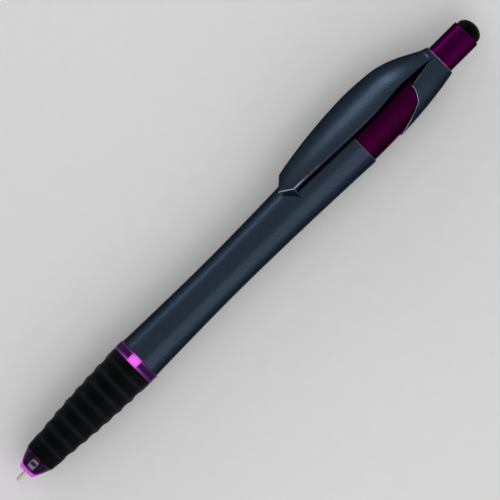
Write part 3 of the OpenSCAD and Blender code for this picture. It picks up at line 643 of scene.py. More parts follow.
# %% [markdown]
# ## The clip
# The clip is a broad leaf that springs from the cap's end, widens over the sleeve and runs down to a
# blunt point above the barrel, where a small foot presses on a pocket and its toe splays out under the
# point. Its top is crowned, its edges are thin with a softened corner. A subdivided cage would round
# the point away, so the leaf is a row of cross-sections with its own rules for width, height and
# thickness.

# %% Width and height of the clip
ROOT_HALF, WIDE_HALF, TIP_HALF, WIDE_AT, TAPER = 2.0, 5.4, 3.3, 20.0, 1.6
CREST_AT, CREST_RISE, CREST_FALL, TIP_LEN, CROWN, BLUNT = 12.0, 3.9, 3, 2.9, 0.2, 0.04
EDGE_THICK, MID_THICK, ROOT_THICK, FOOT_HIGH, FOOT_GAP = 0.55, 0.5, 0.25, 0.7, 0.15
clip_len = clip_root - clip_tip
tip_at = clip_len - TIP_LEN
root_high = cap_radius(clip_root) + SLIVER
tip_high = barrel_radius(clip_root - tip_at) + FOOT_GAP + FOOT_HIGH + EDGE_THICK + ROOT_THICK
tip_high += MID_THICK - CROWN * TIP_HALF


def clip_half(down):
    """Half width at a distance down from the root."""
    if down < WIDE_AT:
        return ROOT_HALF + (WIDE_HALF - ROOT_HALF) * sin(pi / 2 * max(down, 0) / WIDE_AT)
    if down < tip_at:
        return WIDE_HALF - (WIDE_HALF - TIP_HALF) * ((down - WIDE_AT) / (tip_at - WIDE_AT)) ** TAPER
    return TIP_HALF * max(BLUNT, (clip_len - down) / TIP_LEN)


def clip_high(down):
    """Height of the clip's upper edges above the pen's axis."""
    crest = root_high + CREST_RISE
    if down < CREST_AT:
        return root_high + CREST_RISE * sin(pi / 2 * max(down, 0) / CREST_AT)
    return crest - (crest - tip_high) * ((down - CREST_AT) / (tip_at - CREST_AT)) ** CREST_FALL


print("clip", mm(clip_len), "long,", mm(2 * WIDE_HALF), "wide, its tip", mm(tip_high), "above the axis")

# %% Cross-section of the clip
THICK_AT, FOOT_HALF, FOOT_FLAT, ROOT_SHORT = 6.0, 2.6, 6, 0.12
TOE_RUN, TOE_SPLAY, SOFT, SOFT_TOE, SOFT_SPAN = 0.4, 0.75, 0.22, 0.1, 2.4
root_blend = cap_rear - clip_root - ROOT_SHORT


def clip_section(down):
    """Outline of the clip's cross-section: crowned top, thin edges, hollow or footed underside."""
    half, high, full = clip_half(down), clip_high(down), min(1, max(down, 0) / THICK_AT)
    edge_thick = ROOT_THICK + EDGE_THICK * full
    foot = FOOT_HIGH * max(0, 1 - ((down - tip_at) / FOOT_HALF) ** 2)
    under_r = barrel_radius(clip_root - down)
    floor = under_r + FOOT_GAP if down > tip_at - FOOT_HALF else 0
    toe = np.clip(1 + (down - tip_at) / TOE_RUN, 0, 1)
    melt = min(1, max(0, 1 + down / root_blend))
    melt = melt * melt * (3 - 2 * melt)
    soft = SOFT + SOFT_TOE * toe
    flat_half = max(half - SOFT_SPAN * soft, half / 2)
    top, under = [], []
    for wide in [-half, *np.linspace(-flat_half, flat_half, 23), half]:
        corner = (soft,) if abs(wide) == half else ()
        across = wide / half
        bow, pad = 1 - across ** 2, 1 - across ** FOOT_FLAT
        leaf = high + CROWN * half * bow
        cap_high = sqrt(cap_radius(clip_root - down) ** 2 - wide * wide) if down < 0 else leaf
        leaf = cap_high + (leaf - cap_high) * melt
        top.append((wide, leaf) + corner)
        sole = max(floor, leaf - edge_thick - MID_THICK * full * bow - foot * pad)
        spread = wide * (1 + toe * TOE_SPLAY / half)
        rest = sqrt(max(under_r ** 2 - spread ** 2, 0)) + FOOT_GAP
        under.append((spread, sole + (min(rest, sole) - sole) * toe) + corner)
    return rounded(top + under[::-1])


print("points in a cross-section:", len(clip_section(WIDE_AT)[0]))

# %% Make the clip
# the clip's edges are marked for a painted highlight with some wear, weakest at the root and strongest
# towards the point
HIGHLIGHT_FROM, HIGHLIGHT_FULL, HIGHLIGHT_LEAST, HIGHLIGHT_FILL, BENDS_OVER = 24, 44, 0.3, 1.5, 8
downs = np.concatenate([
    np.linspace(-root_blend, 0, 10)[:-1], np.linspace(0, tip_at - TOE_RUN, 110)[:-1],
    np.linspace(tip_at - TOE_RUN, tip_at, 5)[:-1], np.linspace(tip_at, clip_len, 16)])
clip_rows, clip_highlight = [], []
for down in downs:
    points, worn = clip_section(down)
    wide, high = points.T
    stations = np.full(len(points), clip_root - down)
    clip_rows.append(np.stack([stations, (high + wide) * sqrt(0.5), (high - wide) * sqrt(0.5)], axis=-1))
    rub_and_highlight = np.clip((down - HIGHLIGHT_FROM) / (HIGHLIGHT_FULL - HIGHLIGHT_FROM), 0, 1)
    clip_highlight.append(np.minimum(HIGHLIGHT_FILL * worn, 1) * (HIGHLIGHT_LEAST + (1 - HIGHLIGHT_LEAST) * rub_and_highlight ** 3))
clip = woven("leaf_clip", clip_rows, {"worn": np.array(clip_highlight)}, loop=False)
fitted(clip, slate_lacquer, None, "clip")
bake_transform(clip)

# %% [markdown]
# ## The push button
# The magenta button is a long plunger: a smooth shaft, four guide ribs that slide in the sleeve, and a
# crown of V teeth that turns the rotor with each click. The shaft is turned from one outline, and the
# crown comes from shifting its front ring back and forth around the pen. The ribs repeat around the
# axis, so Geometry Nodes set them: one softened rib goes in, and copies turned about X come out.

# %% Run a Geometry Nodes tree
def grown(name, tree, sizes, finish, seed=None):
    """Run a Geometry Nodes tree once and keep what it makes as a plain mesh object."""
    source = bpy.data.objects.new(name + "_source", seed or bpy.data.meshes.new(name + "_seed"))
    bpy.context.scene.collection.objects.link(source)
    modifier = source.modifiers.new("Shape", "NODES")
    modifier.node_group = tree
    sockets = {item.name: item.identifier for item in tree.interface.items_tree if item.in_out == "INPUT"}
    for label, value in {**sizes, "Finish": finish}.items():
        modifier[sockets[label]] = value
    made = bpy.data.meshes.new_from_object(source.evaluated_get(bpy.context.evaluated_depsgraph_get()))
    source.modifiers.remove(modifier)
    bpy.data.objects.remove(source)
    made.name = name
    return bpy.data.objects.new(name, made)


print("a tree's inputs are set by identifier, and what it makes becomes a plain mesh")

# %% A tree that sets copies around the pen
def new_shape(name, **takes):
    """A Geometry Nodes tree that takes a geometry, sizes and a finish."""
    takes = {"Geometry": "Geometry", **takes, "Finish": "Material"}
    return new_group("GeometryNodeTree", name, takes, {"Geometry": "Geometry"})


def ended(tree, shape, finish, given):
    """The last nodes of every tree: real geometry with its material."""
    real = add(tree, "GeometryNodeRealizeInstances", {"Geometry": shape}).outputs[0]
    dressed = add(tree, "GeometryNodeSetMaterial", {"Geometry": real, "Material": finish}).outputs[0]
    plug(tree, dressed, given["Geometry"])
    print("tree:", tree.name, len(tree.nodes), "nodes")


spokes, taken, given = new_shape("Copies around the pen", Count="Int", First="Float")
spots = add(spokes, "GeometryNodeMeshLine", {"Count": taken["Count"], "Offset": (0, 0, 0)})
step = calc(spokes, "DIVIDE", 2 * pi, taken["Count"])
turn = calc(spokes, "MULTIPLY_ADD", add(spokes, "GeometryNodeInputIndex").outputs[0], step, taken["First"])
spin = add(spokes, "ShaderNodeCombineXYZ", {"X": turn})
copies = add(spokes, "GeometryNodeInstanceOnPoints", {
    "Points": spots.outputs[0], "Instance": taken["Geometry"], "Rotation": spin.outputs[0]})
ended(spokes, copies.outputs[0], taken["Finish"], given)

# %% Make the button's shaft and crown
TEETH, TOOTH, SHAFT_AT = 8, 0.9, 8
STEM_PLAY, WELL_FLOOR, WELL_ROUND, RELIEF_AT, RELIEF_RUN, BUTTON_EDGE = 0.3, 0.75, 0.3, 6.2, 0.3, 0.4
crown, button_rear = ends("plunger")
stem_front, touch_rear = ends("stylus_tip")
button_r = skin("plunger", (cap_rear + button_rear) / 2)
shaft_r, well_r = skin("plunger", crown + SHAFT_AT), skin("plunger", crown + SHAFT_AT, inside=True)
stem_hole_r = skin("plunger", button_rear - 1, inside=True)
stem_floor = stem_front - STEM_PLAY
well_end, relief = stem_floor - WELL_FLOOR, cap_rear - RELIEF_AT
points, worn = rounded([
    (well_end, 0), (well_end, well_r, WELL_ROUND), (crown, well_r), (crown, shaft_r),
    (crown + 3 * TOOTH, shaft_r), (relief, shaft_r), (relief + RELIEF_RUN, button_r),
    (cap_rear, button_r), (button_rear - 3 * BUTTON_EDGE, button_r), (button_rear, button_r, BUTTON_EDGE),
    (button_rear, stem_hole_r + HOLE_EDGE), (button_rear - HOLE_EDGE, stem_hole_r), (stem_floor, stem_hole_r),
    (stem_floor, 0)])
turns = around(SIDES)
zigzag = np.abs((turns * TEETH / (2 * pi)) % 1 * 2 - 1) * TOOTH
shifted = points[:, :1] + np.where(np.isclose(points[:, :1], crown), zigzag[None, :], 0)
button = woven("push_button", ring_points(shifted, points[:, 1:], turns[None, :]), {"worn": worn}, loop=False)

# %% Add the guide ribs
RIBS, RIB_WIDE, RIB_LEN, RIB_BACK, RIB_SUNK, RIB_SOFT = 4, 1.4, 3.7, 1.4, 0.4, 0.15
rib_front = crown + RIB_BACK
rib_mid = rib_front + RIB_LEN / 2
rib_r, rib_first = max((skin("plunger", rib_mid, toward=Vector((0, 0, 1))), 0.0),
                       (skin("plunger", rib_mid), CLIP_TURN))


def joined(piece, *others):
    """Put other meshes into a piece, and shade it again."""
    whole = bmesh.new()
    whole.from_mesh(piece.data)
    for other in others:
        whole.from_mesh(other.data)
        bpy.data.objects.remove(other)
    whole.to_mesh(piece.data)
    whole.free()
    return shaded(piece)


block = bmesh.new()
bmesh.ops.create_cube(block, size=1)
for corner in block.verts:
    corner.co *= Vector((RIB_LEN, RIB_WIDE, rib_r - shaft_r + RIB_SUNK))
    corner.co += Vector((rib_mid, 0, (rib_r + shaft_r - RIB_SUNK) / 2))
    corner.co *= MM
bmesh.ops.bevel(block, geom=block.edges[:], offset=RIB_SOFT * MM, segments=3, affect="EDGES", profile=0.5)
rib = bpy.data.meshes.new("guide_rib")
block.to_mesh(rib)
block.free()
joined(button, grown("guide_ribs", spokes, {"Count": RIBS, "First": rib_first}, button_lacquer, rib))
fitted(button, button_lacquer, "plunger", "plunger")
print("button with", RIBS, "ribs to radius", mm(rib_r), "and", len(button.data.polygons), "faces")

# %% [markdown]
# ## Finish: rubber
# The grip and the touch tip are soft black rubber. Real black rubber is never pure black: it is a dark
# grey that scatters light broadly, and the crests that fingers touch are polished a little. Their lighter
# colour is that polish and a painted highlight. The shader has a fairly high roughness, a low specular
# level so that the pale room doesn't grey it, and a fine moulded grain in the bump.

# %% Build the rubbers
CREST_FOCUS, CREST_GLOSS, EVEN = 3, -0.12, (1, 1, 1)


def rubber(name, colour, polished, roughness, fineness):
    """Matte rubber with a fine grain, and a lighter colour on the marked crests and edges: some polish and a
    painted highlight.
    """
    material, tree, shader, place = new_finish(name, {"Specular IOR Level": 0.025, "Metallic": 0})
    moulded = effect(tree, grain, place, Fineness=fineness, Stretch=EVEN)
    gloss = effect(tree, handling, place, Roughness=roughness, Spread=0.2)
    polish_and_highlight = calc(tree, "POWER", mark(tree, "worn"), CREST_FOCUS)
    feed(tree, shader, {
        "Base Color": toned(tree, mixed(tree, polish_and_highlight, colour, polished), moulded["Tone"]),
        "Roughness": calc(tree, "MULTIPLY_ADD", polish_and_highlight, CREST_GLOSS, gloss["Roughness"])})
    bumped(tree, shader, moulded["Height"], depth=0.03, strength=0.5)
    return material


# the second colour of each rubber is the crests' polish and painted highlight
grip_rubber = rubber("ribbed_rubber", screen(4, 5, 7), screen(22, 23, 25), roughness=0.42, fineness=5200)
touch_rubber = rubber("dome_rubber", screen(3, 3, 5), screen(9, 9, 11), roughness=0.38, fineness=3800)
print("rubbers:", grip_rubber.name, touch_rubber.name)

# %% [markdown]
# ## The ribbed grip
# The grip is a rubber sleeve that swells from the nose to the ring, with eight soft crests around it.
# Its whole shape is one rule, so it suits Geometry Nodes: a flat grid is bent into a tube whose radius
# is the swell minus a cosine wave. Rows crowd together towards both ends, where the rim rolls over.
# Extruding the tube inwards gives it a wall. The height of each crest is stored on the points, for the
# finish, which paints a lighter crest from it: polish and a painted highlight.

# %% Build the grip's tree: the rule of its radius
END_FADE = -3
sizes = ("Front", "Length", "Front Radius", "Rear Radius", "Front Bore", "Rear Bore", "Waves", "Lead",
         "Pitch", "Depth", "Sharpness", "Rim")
grip_tree, taken, given = new_shape(
    "Ribbed grip", **dict.fromkeys(sizes, "Float"), Rows="Int", Sides="Int")
node, do = partial(add, grip_tree), partial(calc, grip_tree)


def between(start, end, share):
    """A size of the grip, some share of the way from one input to another."""
    return do("MULTIPLY_ADD", do("SUBTRACT", taken[end], taken[start]), share, taken[start])


def position(tree):
    """X, Y and Z of a tree's points, as they are at this step."""
    return add(tree, "ShaderNodeSeparateXYZ", {0: add(tree, "GeometryNodeInputPosition").outputs[0]}).outputs


flat = position(grip_tree)
even = do("MULTIPLY", do("ADD", flat["X"], 0.5), pi)
along = do("MULTIPLY_ADD", do("COSINE", even), -0.5, 0.5)
reach = do("MULTIPLY", along, taken["Length"])
body_r = between("Front Radius", "Rear Radius", do("SINE", do("MULTIPLY", along, pi / 2)))
phase = do("DIVIDE", do("SUBTRACT", reach, taken["Lead"]), taken["Pitch"])
held = do("MINIMUM", do("MAXIMUM", phase, 0), taken["Waves"])
past = do("ABSOLUTE", do("SUBTRACT", phase, held))
fading = do("MAXIMUM", do("MULTIPLY_ADD", past, END_FADE, 1), 0)
wave = do("MULTIPLY_ADD", do("COSINE", do("MULTIPLY", held, 2 * pi)), 0.5, 0.5)
crest = do("POWER", wave, taken["Sharpness"])
waved = do("MULTIPLY_ADD", do("SUBTRACT", crest, 1), taken["Depth"], body_r)
from_end = do("MINIMUM", reach, do("SUBTRACT", taken["Length"], reach))
inward = do("MAXIMUM", do("SUBTRACT", 1, do("DIVIDE", from_end, taken["Rim"])), 0)
roll = do("SUBTRACT", 1, do("SQRT", do("SUBTRACT", 1, do("MULTIPLY", inward, inward))))
outer_r = do("SUBTRACT", waved, do("MULTIPLY", roll, taken["Rim"]))
print("the rule of the grip's radius takes", len(grip_tree.nodes), "nodes")

# %% Build the grip's tree: the tube and its wall
sheet = node("GeometryNodeMeshGrid", {
    "Size X": 1, "Size Y": 1, "Vertices X": taken["Rows"], "Vertices Y": taken["Sides"]})
turn = do("MULTIPLY", flat["Y"], 2 * pi)
bent = node("ShaderNodeCombineXYZ", {
    "X": do("ADD", reach, taken["Front"]),
    "Y": do("MULTIPLY", outer_r, do("SINE", turn)), "Z": do("MULTIPLY", outer_r, do("COSINE", turn))})
# the crest height is stored for the finish's lighter crests: polish and a painted highlight
noted = node("GeometryNodeStoreNamedAttribute", {
    "Geometry": sheet.outputs["Mesh"], "Name": "worn", "Value": do("MULTIPLY", crest, fading)},
    data_type="FLOAT", domain="POINT")
tube = node("GeometryNodeSetPosition", {"Geometry": noted.outputs[0], "Position": bent.outputs[0]})
tube = node("GeometryNodeMergeByDistance", {"Geometry": tube.outputs[0], "Distance": WELD}).outputs[0]
round_now = position(grip_tree)
spoke = node("ShaderNodeCombineXYZ", {"Y": round_now["Y"], "Z": round_now["Z"]}).outputs[0]
here_r = node("ShaderNodeVectorMath", {0: spoke}, operation="LENGTH").outputs["Value"]
outwards = node("ShaderNodeVectorMath", {0: spoke}, operation="NORMALIZE").outputs[0]
back = do("DIVIDE", do("SUBTRACT", round_now["X"], taken["Front"]), taken["Length"])
thinned = do("SUBTRACT", between("Front Bore", "Rear Bore", back), here_r)
wall = node("GeometryNodeExtrudeMesh", {
    "Mesh": tube, "Offset": outwards, "Offset Scale": thinned, "Individual": False})
inner = node("GeometryNodeFlipFaces", {"Mesh": wall.outputs["Mesh"]}).outputs[0]
shell = node("GeometryNodeJoinGeometry")
for part in (tube, inner):
    plug(grip_tree, part, shell.inputs[0])
closed = node("GeometryNodeMergeByDistance", {"Geometry": shell.outputs[0], "Distance": WELD}).outputs[0]
ended(grip_tree, closed, taken["Finish"], given)

# %% Grow the grip
WAVES, WAVE_DEPTH, WAVE_LEAD, WAVE_TAIL, WAVE_SHARP = 7, 0.24, 3.4, 2.4, 1.5
GRIP_START, UNDER_RING, RING_AT, GRIP_RIM, BORE_AT = 3.85, 0.07, 0.3, 0.35, 0.05
grip_front, grip_rear = ends("rubber_grip")
grip_len = grip_rear - grip_front
grip_sizes = {
    "Front": grip_front, "Length": grip_len, "Front Radius": GRIP_START,
    "Rear Radius": skin("light_ring", grip_rear + RING_AT) - UNDER_RING,
    "Front Bore": skin("rubber_grip", grip_front + BORE_AT, inside=True),
    "Rear Bore": skin("rubber_grip", grip_rear - BORE_AT, inside=True), "Lead": WAVE_LEAD,
    "Pitch": (grip_len - WAVE_LEAD - WAVE_TAIL) / WAVES, "Depth": WAVE_DEPTH, "Rim": GRIP_RIM}
grip_sizes = {label: size * MM for label, size in grip_sizes.items()}
grip_sizes |= {"Waves": float(WAVES), "Sharpness": WAVE_SHARP, "Rows": 180, "Sides": 113}
grip = tidied(grown("ribbed_grip", grip_tree, grip_sizes, grip_rubber))
fitted(grip, grip_rubber, "pen_body", "rubber_grip")
print("grip", mm(grip_len), "long with", WAVES + 1, "crests")

# %% [markdown]
# ## The touch tip
# A soft dome sits in the end of the button, for tapping on screens. It is a hollow rubber bead on the
# real pen; seen from outside it is a low dome with a small step to the button's rim and a stem below.

# %% Make the touch tip
DOME_SHARE, DOME_STEP, DOME_ROUND, STEM_ROUND = 0.861, 1 / 6, 0.12, 0.2
dome_r = DOME_SHARE * button_r
dome_base = button_rear + (touch_rear - button_rear) * DOME_STEP
stem_r = skin("stylus_tip", (stem_front + button_rear) / 2)
dome = [(dome_base + (touch_rear - dome_base) * sin(turn), dome_r * cos(turn))
        for turn in np.linspace(0, pi / 2, 20)]
touch_tip = turned("touch_tip", [
    (stem_front, 0), (stem_front, stem_r, STEM_ROUND), (button_rear, stem_r),
    (button_rear, dome_r, DOME_ROUND), *dome], sides=96, loop=False)
fitted(touch_tip, touch_rubber, "plunger", "stylus_tip")

# %% [markdown]
# ## Finish: plastic lit from inside
# Nose and ring are clear plastic that carries the light of two small lamps. The light comes out where a
# face ends the light's path: the front rim of the nose, and the solid bars in the ring. The rest stays
# a deep violet. The meshes store how much light leaves each point, and the material turns that number
# into an emission colour. The nose is real glass to the renderer, with a smoky violet tint, and its
# flanks and underside get a dark violet painted shade; only a window on top, over the lamp, stays clear.
# Its IOR is lower than that of real plastic, because the pale room would otherwise lie on it as a grey
# haze.

# %% Build the lit plastics
GLOW, DARK = screen(252, 108, 255), screen(0, 0, 0)


def lit_plastic(name, sockets, body, dim, deep, glow, roughness):
    """Plastic with a stored glow and shade: deep is the emission of a dark point, glow of a bright one."""
    material, tree, shader, place = new_finish(name, sockets)
    cloud = effect(tree, grain, place, Fineness=900, Stretch=EVEN)
    gloss = effect(tree, handling, place, Roughness=roughness, Spread=0.12)
    light = calc(tree, "MULTIPLY", mark(tree, "glow"), cloud["Tone"])
    # the shade mark mixes in the dim colour: a painted shade on the nose, and set all over the ring
    body_and_shade = mixed(tree, mark(tree, "shade"), body, dim)
    feed(tree, shader, {"Emission Color": mixed(tree, light, deep, glow),
                        "Base Color": toned(tree, body_and_shade, cloud["Tone"]), "Roughness": gloss["Roughness"]})
    bumped(tree, shader, cloud["Height"], depth=0.01, strength=0.25)
    return material


ring_plastic = lit_plastic(
    "ring_plastic", {"Emission Strength": 1, "Specular IOR Level": 0.05},
    screen(14, 4, 24), screen(6, 0, 16), screen(20, 0, 42), GLOW, roughness=0.3)
# the nose's dim colour is a dark violet painted shade on all but the window over the lamp
nose_plastic = lit_plastic(
    "nose_plastic", {"Emission Strength": 1, "Transmission Weight": 1, "IOR": 1.12, "Metallic": 0},
    screen(226, 214, 230), screen(52, 22, 72), DARK, GLOW, roughness=0.06)
core_plastic = lit_plastic(
    "core_plastic", {"Emission Strength": 0.6, "Transmission Weight": 0.8, "IOR": 1.49, "Metallic": 0},
    screen(190, 150, 200), screen(120, 70, 140), screen(60, 14, 74), GLOW, roughness=0.16)
print("lit plastics:", ring_plastic.name, nose_plastic.name, core_plastic.name)

# %% [markdown]
# ## The light ring
# Between grip and barrel sits a ring with two rims and four bars; between the bars its wall is sunk into
# dark pockets. Its lamp sits under one bar, which glows, and from there the light fades along the rims.
# Cutting pockets with Booleans would do, but the ring is again a grid: two columns stand close together
# at each end of a bar, and rows stand close together at each rim, so that the pocket walls are steep
# and clean.

# %% Make the light ring
BARS, BAR_WIDE, BAR_FIRST, BAR_COLUMNS, GAP_COLUMNS = 4, radians(27.5), radians(4.8), 14, 30
RIM_WIDE, RIM_SOFT, POCKET, WALL_RUN, RING_SHARP = 0.45, 0.1, 0.4, 0.03, 20
LAMP_REACH, FAR_LIGHT, POCKET_GLOW = radians(26), 0.02, 0.03
ring_front, ring_rear = ends("light_ring")
ring_r = skin("light_ring", ring_front + RIM_WIDE / 2)
ring_bore = skin("light_ring", (ring_front + ring_rear) / 2, inside=True)
wall_turn = WALL_RUN / ring_r
gap_wide = 2 * pi / BARS - BAR_WIDE
one_bar = np.concatenate([np.linspace(-BAR_WIDE / 2, BAR_WIDE / 2, BAR_COLUMNS),
                          BAR_WIDE / 2 + np.linspace(wall_turn, gap_wide - wall_turn, GAP_COLUMNS)])
ring_turns = np.concatenate([one_bar + BAR_FIRST + bar * 2 * pi / BARS for bar in range(BARS)])
on_bar = np.tile(np.arange(len(one_bar)) < BAR_COLUMNS, BARS)
from_lamp = (ring_turns - BAR_FIRST + pi) % (2 * pi) - pi
lamp_light = FAR_LIGHT + (1 - FAR_LIGHT) / (1 + (from_lamp / LAMP_REACH) ** 2)
sunk = np.where(on_bar, ring_r, ring_r - POCKET)
rim_in, pocket_in = ring_front + RIM_WIDE, ring_front + 2 * RIM_WIDE
rim_out = ring_rear - RIM_WIDE
ring_rows, ring_glow = [], []
for station, radius, gap_glow, bar_glow in (
        (ring_front, ring_bore, 0.2, 0.6), (ring_front, ring_r - RIM_SOFT, 0.4, 0.75),
        (ring_front + RIM_SOFT, ring_r, 0.5, 0.8), (rim_in - WALL_RUN, ring_r, 0.35, 0.8),
        (rim_in + WALL_RUN, sunk, 0.2, 0.95), (pocket_in, sunk, POCKET_GLOW, 1),
        (rim_out - WALL_RUN, sunk, POCKET_GLOW, 1), (rim_out + WALL_RUN, ring_r, 0.15, 0.7),
        (ring_rear - RIM_SOFT, ring_r, 0.25, 0.7), (ring_rear, ring_r - RIM_SOFT, 0.2, 0.65),
        (ring_rear, ring_bore, 0.1, 0.5)):
    ring_rows.append(ring_points(station, radius, ring_turns))
    ring_glow.append(lamp_light * np.where(on_bar, bar_glow, gap_glow))
ring = woven("light_ring_lens", ring_rows, {"glow": np.array(ring_glow), "shade": np.ones(len(ring_rows))},
             sharp=RING_SHARP)
fitted(ring, ring_plastic, "pen_body", "light_ring")

# %% [markdown]
# ## The clear nose
# The nose is a clear bell with a wall about a third of a millimetre thick. The point comes out through
# its front lip, and the lamp shows through its upper side. A solid lump of glass would bend everything
# inside out of sight, so the visual nose is hollow, with a rear wall and a spigot that plugs the grip.
# Its front rim glows most, the flanks a little, and the window over the lamp hardly at all. Outside that
# clear window the wall is given a dark violet painted shade.

# %% Make the clear nose
NOSE_WALL, NOSE_LIP, NOSE_BEVEL, LIP_BACK, LIP_RISE, SPIGOT_BORE = 0.3, 0.6, 0.5, 0.25, 0.5, 2.35
FACE_AT, BACK_AT, CURVE_IN, CURVE_OUT = 0.02, 0.03, 0.4, 0.3
MOUTH_ROUND, FACE_ROUND, BEVEL_ROUND, BASE_ROUND, PLUG_ROUND = 0.06, 0.14, 0.25, 0.1, 0.08
HOLLOW_ROUND, THROAT_ROUND = 0.15, 0.3
nose_front, nose_rear = ends("nose_cone")
nose_face_r = skin("nose_cone", nose_front + FACE_AT)
bevel_end = nose_front + NOSE_BEVEL
nose_rim_r, nose_back_r = skin("nose_cone", bevel_end), skin("nose_cone", grip_front - BACK_AT)
nose_hole_r = skin("nose_cone", nose_front + NOSE_LIP / 2, inside=True)
nose_spigot_r = skin("nose_cone", (grip_front + nose_rear) / 2)
flare = (nose_back_r - nose_rim_r) / (grip_front - bevel_end)


def nose_radius(station):
    """Outside of the nose behind its front bevel."""
    return nose_rim_r + flare * (station - bevel_end)


lip_end, cavity_rear = nose_front + NOSE_LIP, grip_front - NOSE_WALL
cavity_front = lip_end + LIP_BACK
nose_points, _ = rounded([
    (nose_front, nose_hole_r, MOUTH_ROUND), (nose_front, nose_face_r, FACE_ROUND),
    (bevel_end, nose_rim_r, BEVEL_ROUND),
    *curve_of(nose_radius, bevel_end + CURVE_IN, grip_front - CURVE_OUT, 14),
    (grip_front, nose_back_r, BASE_ROUND), (grip_front, nose_spigot_r),
    (nose_rear, nose_spigot_r, PLUG_ROUND), (nose_rear, SPIGOT_BORE, PLUG_ROUND),
    (cavity_rear, SPIGOT_BORE, PLUG_ROUND),
    (cavity_rear, nose_radius(cavity_rear) - NOSE_WALL, HOLLOW_ROUND),
    (cavity_front, nose_radius(cavity_front) - NOSE_WALL, THROAT_ROUND),
    (cavity_front, nose_hole_r + LIP_RISE), (lip_end, nose_hole_r)])
print("nose wall", mm(NOSE_WALL), "and hole radius", mm(nose_hole_r))

# %% Light the nose
RIM_GLOW, RIM_COOL, SIDE_GLOW, SIDE_FOCUS = 0.62, 0.25, 0.08, 6
RIM_REACH, SIDE_REACH, GLOW_FADE, WINDOW_EDGE, WINDOW_FADE, NOSE_SHARP = 0.22, 0.3, 0.08, 0.72, 0.1, 40
nose_stations, nose_radii = nose_points[:, :1], nose_points[:, 1:]
nose_turns = around(144)[None, :]
behind = np.clip((nose_stations - nose_front) / (grip_front - nose_front), 0, 1)
outside = np.arange(len(nose_points))[:, None] < np.argmax(nose_stations > grip_front)
flank = np.abs(np.sin(nose_turns)) ** SIDE_FOCUS
rim_glow = RIM_GLOW * (1 - RIM_COOL * np.sin(nose_turns) ** 2)
rim_share = np.clip((RIM_REACH + SIDE_REACH * flank - behind) / GLOW_FADE, 0, 1)
# shade paints the nose dark violet, a painted shade, everywhere but a clear window on top, over the lamp and
# behind the glowing rim
clear = np.clip((np.cos(nose_turns) - WINDOW_EDGE) / WINDOW_FADE, 0, 1)
nose = woven("clear_nose", ring_points(nose_stations, nose_radii, nose_turns), {
    "glow": outside * (rim_glow * rim_share + SIDE_GLOW * flank),
    "shade": 1 - clear * np.clip((behind - RIM_REACH) / GLOW_FADE, 0, 1)}, sharp=NOSE_SHARP)
fitted(nose, nose_plastic, "pen_body", "nose_cone")

# %% [markdown]
# ## Finish: bare metals and mouldings
# The point is turned metal, so its fine lines run around the axis; the spring is drawn wire, the cells
# are plated cans and the contacts stamped brass. The rotor and the carriage are moulded plastic with a
# fine spark texture. All are one recipe: one colour, a grain that is stretched the way the tool went,
# and gloss that varies. Stretching the noise is cheaper and steadier than modelling scratches.

# %% Build the metals and mouldings
def grained(name, colour, roughness, fineness, stretch, depth, spread, sockets):
    """One colour with a grain in tone and relief; a large stretch along an axis crowds the lines along it."""
    material, tree, shader, place = new_finish(name, sockets)
    lines = effect(tree, grain, place, Fineness=fineness, Stretch=stretch)
    gloss = effect(tree, handling, place, Roughness=roughness, Spread=spread)
    feed(tree, shader, {"Base Color": toned(tree, colour, lines["Tone"]), "Roughness": gloss["Roughness"]})
    bumped(tree, shader, lines["Height"], depth, strength=0.4)
    return material


metal = partial(grained, depth=0.006, spread=0.14, sockets={"Metallic": 1})
moulding = partial(grained, fineness=3000, stretch=EVEN, depth=0.015, spread=0.2,
                   sockets={"Metallic": 0, "Specular IOR Level": 0.4})
turned_metal = metal("turned_metal", screen(168, 170, 156), 0.26, fineness=900, stretch=(12, 1, 1))
polished_ball = metal("polished_ball", screen(196, 197, 200), 0.12, fineness=6000, stretch=EVEN, depth=0.002)
drawn_wire = metal("drawn_wire", screen(188, 190, 194), 0.28, fineness=2500, stretch=EVEN)
stamped_brass = metal("stamped_brass", screen(206, 172, 98), 0.3, fineness=1500, stretch=(0.1, 4, 4))
plated_can = metal("plated_can", screen(200, 201, 203), 0.24, fineness=1800, stretch=(0.4, 3, 3))
white_moulding = moulding("white_moulding", screen(226, 225, 220), 0.45)
black_moulding = moulding("black_moulding", screen(34, 34, 37), 0.5)
ink_paste = moulding("ink_mass", screen(22, 22, 48), 0.2)
print("metals:", turned_metal.name, polished_ball.name, drawn_wire.name, stamped_brass.name, plated_can.name)
print("mouldings:", white_moulding.name, black_moulding.name, ink_paste.name)

# %% [markdown]
# ## The refill point, the spring and the cells
# The point is a slim turned cone with a socket for the ball. The spring behind it pushes the refill
# back: it is a path with a round section, so Geometry Nodes sweep a circle along a spiral, and the turns
# lie closer at both ends as in a real spring. It stretches with the refill. The three button cells repeat
# along a line, from one turned can.

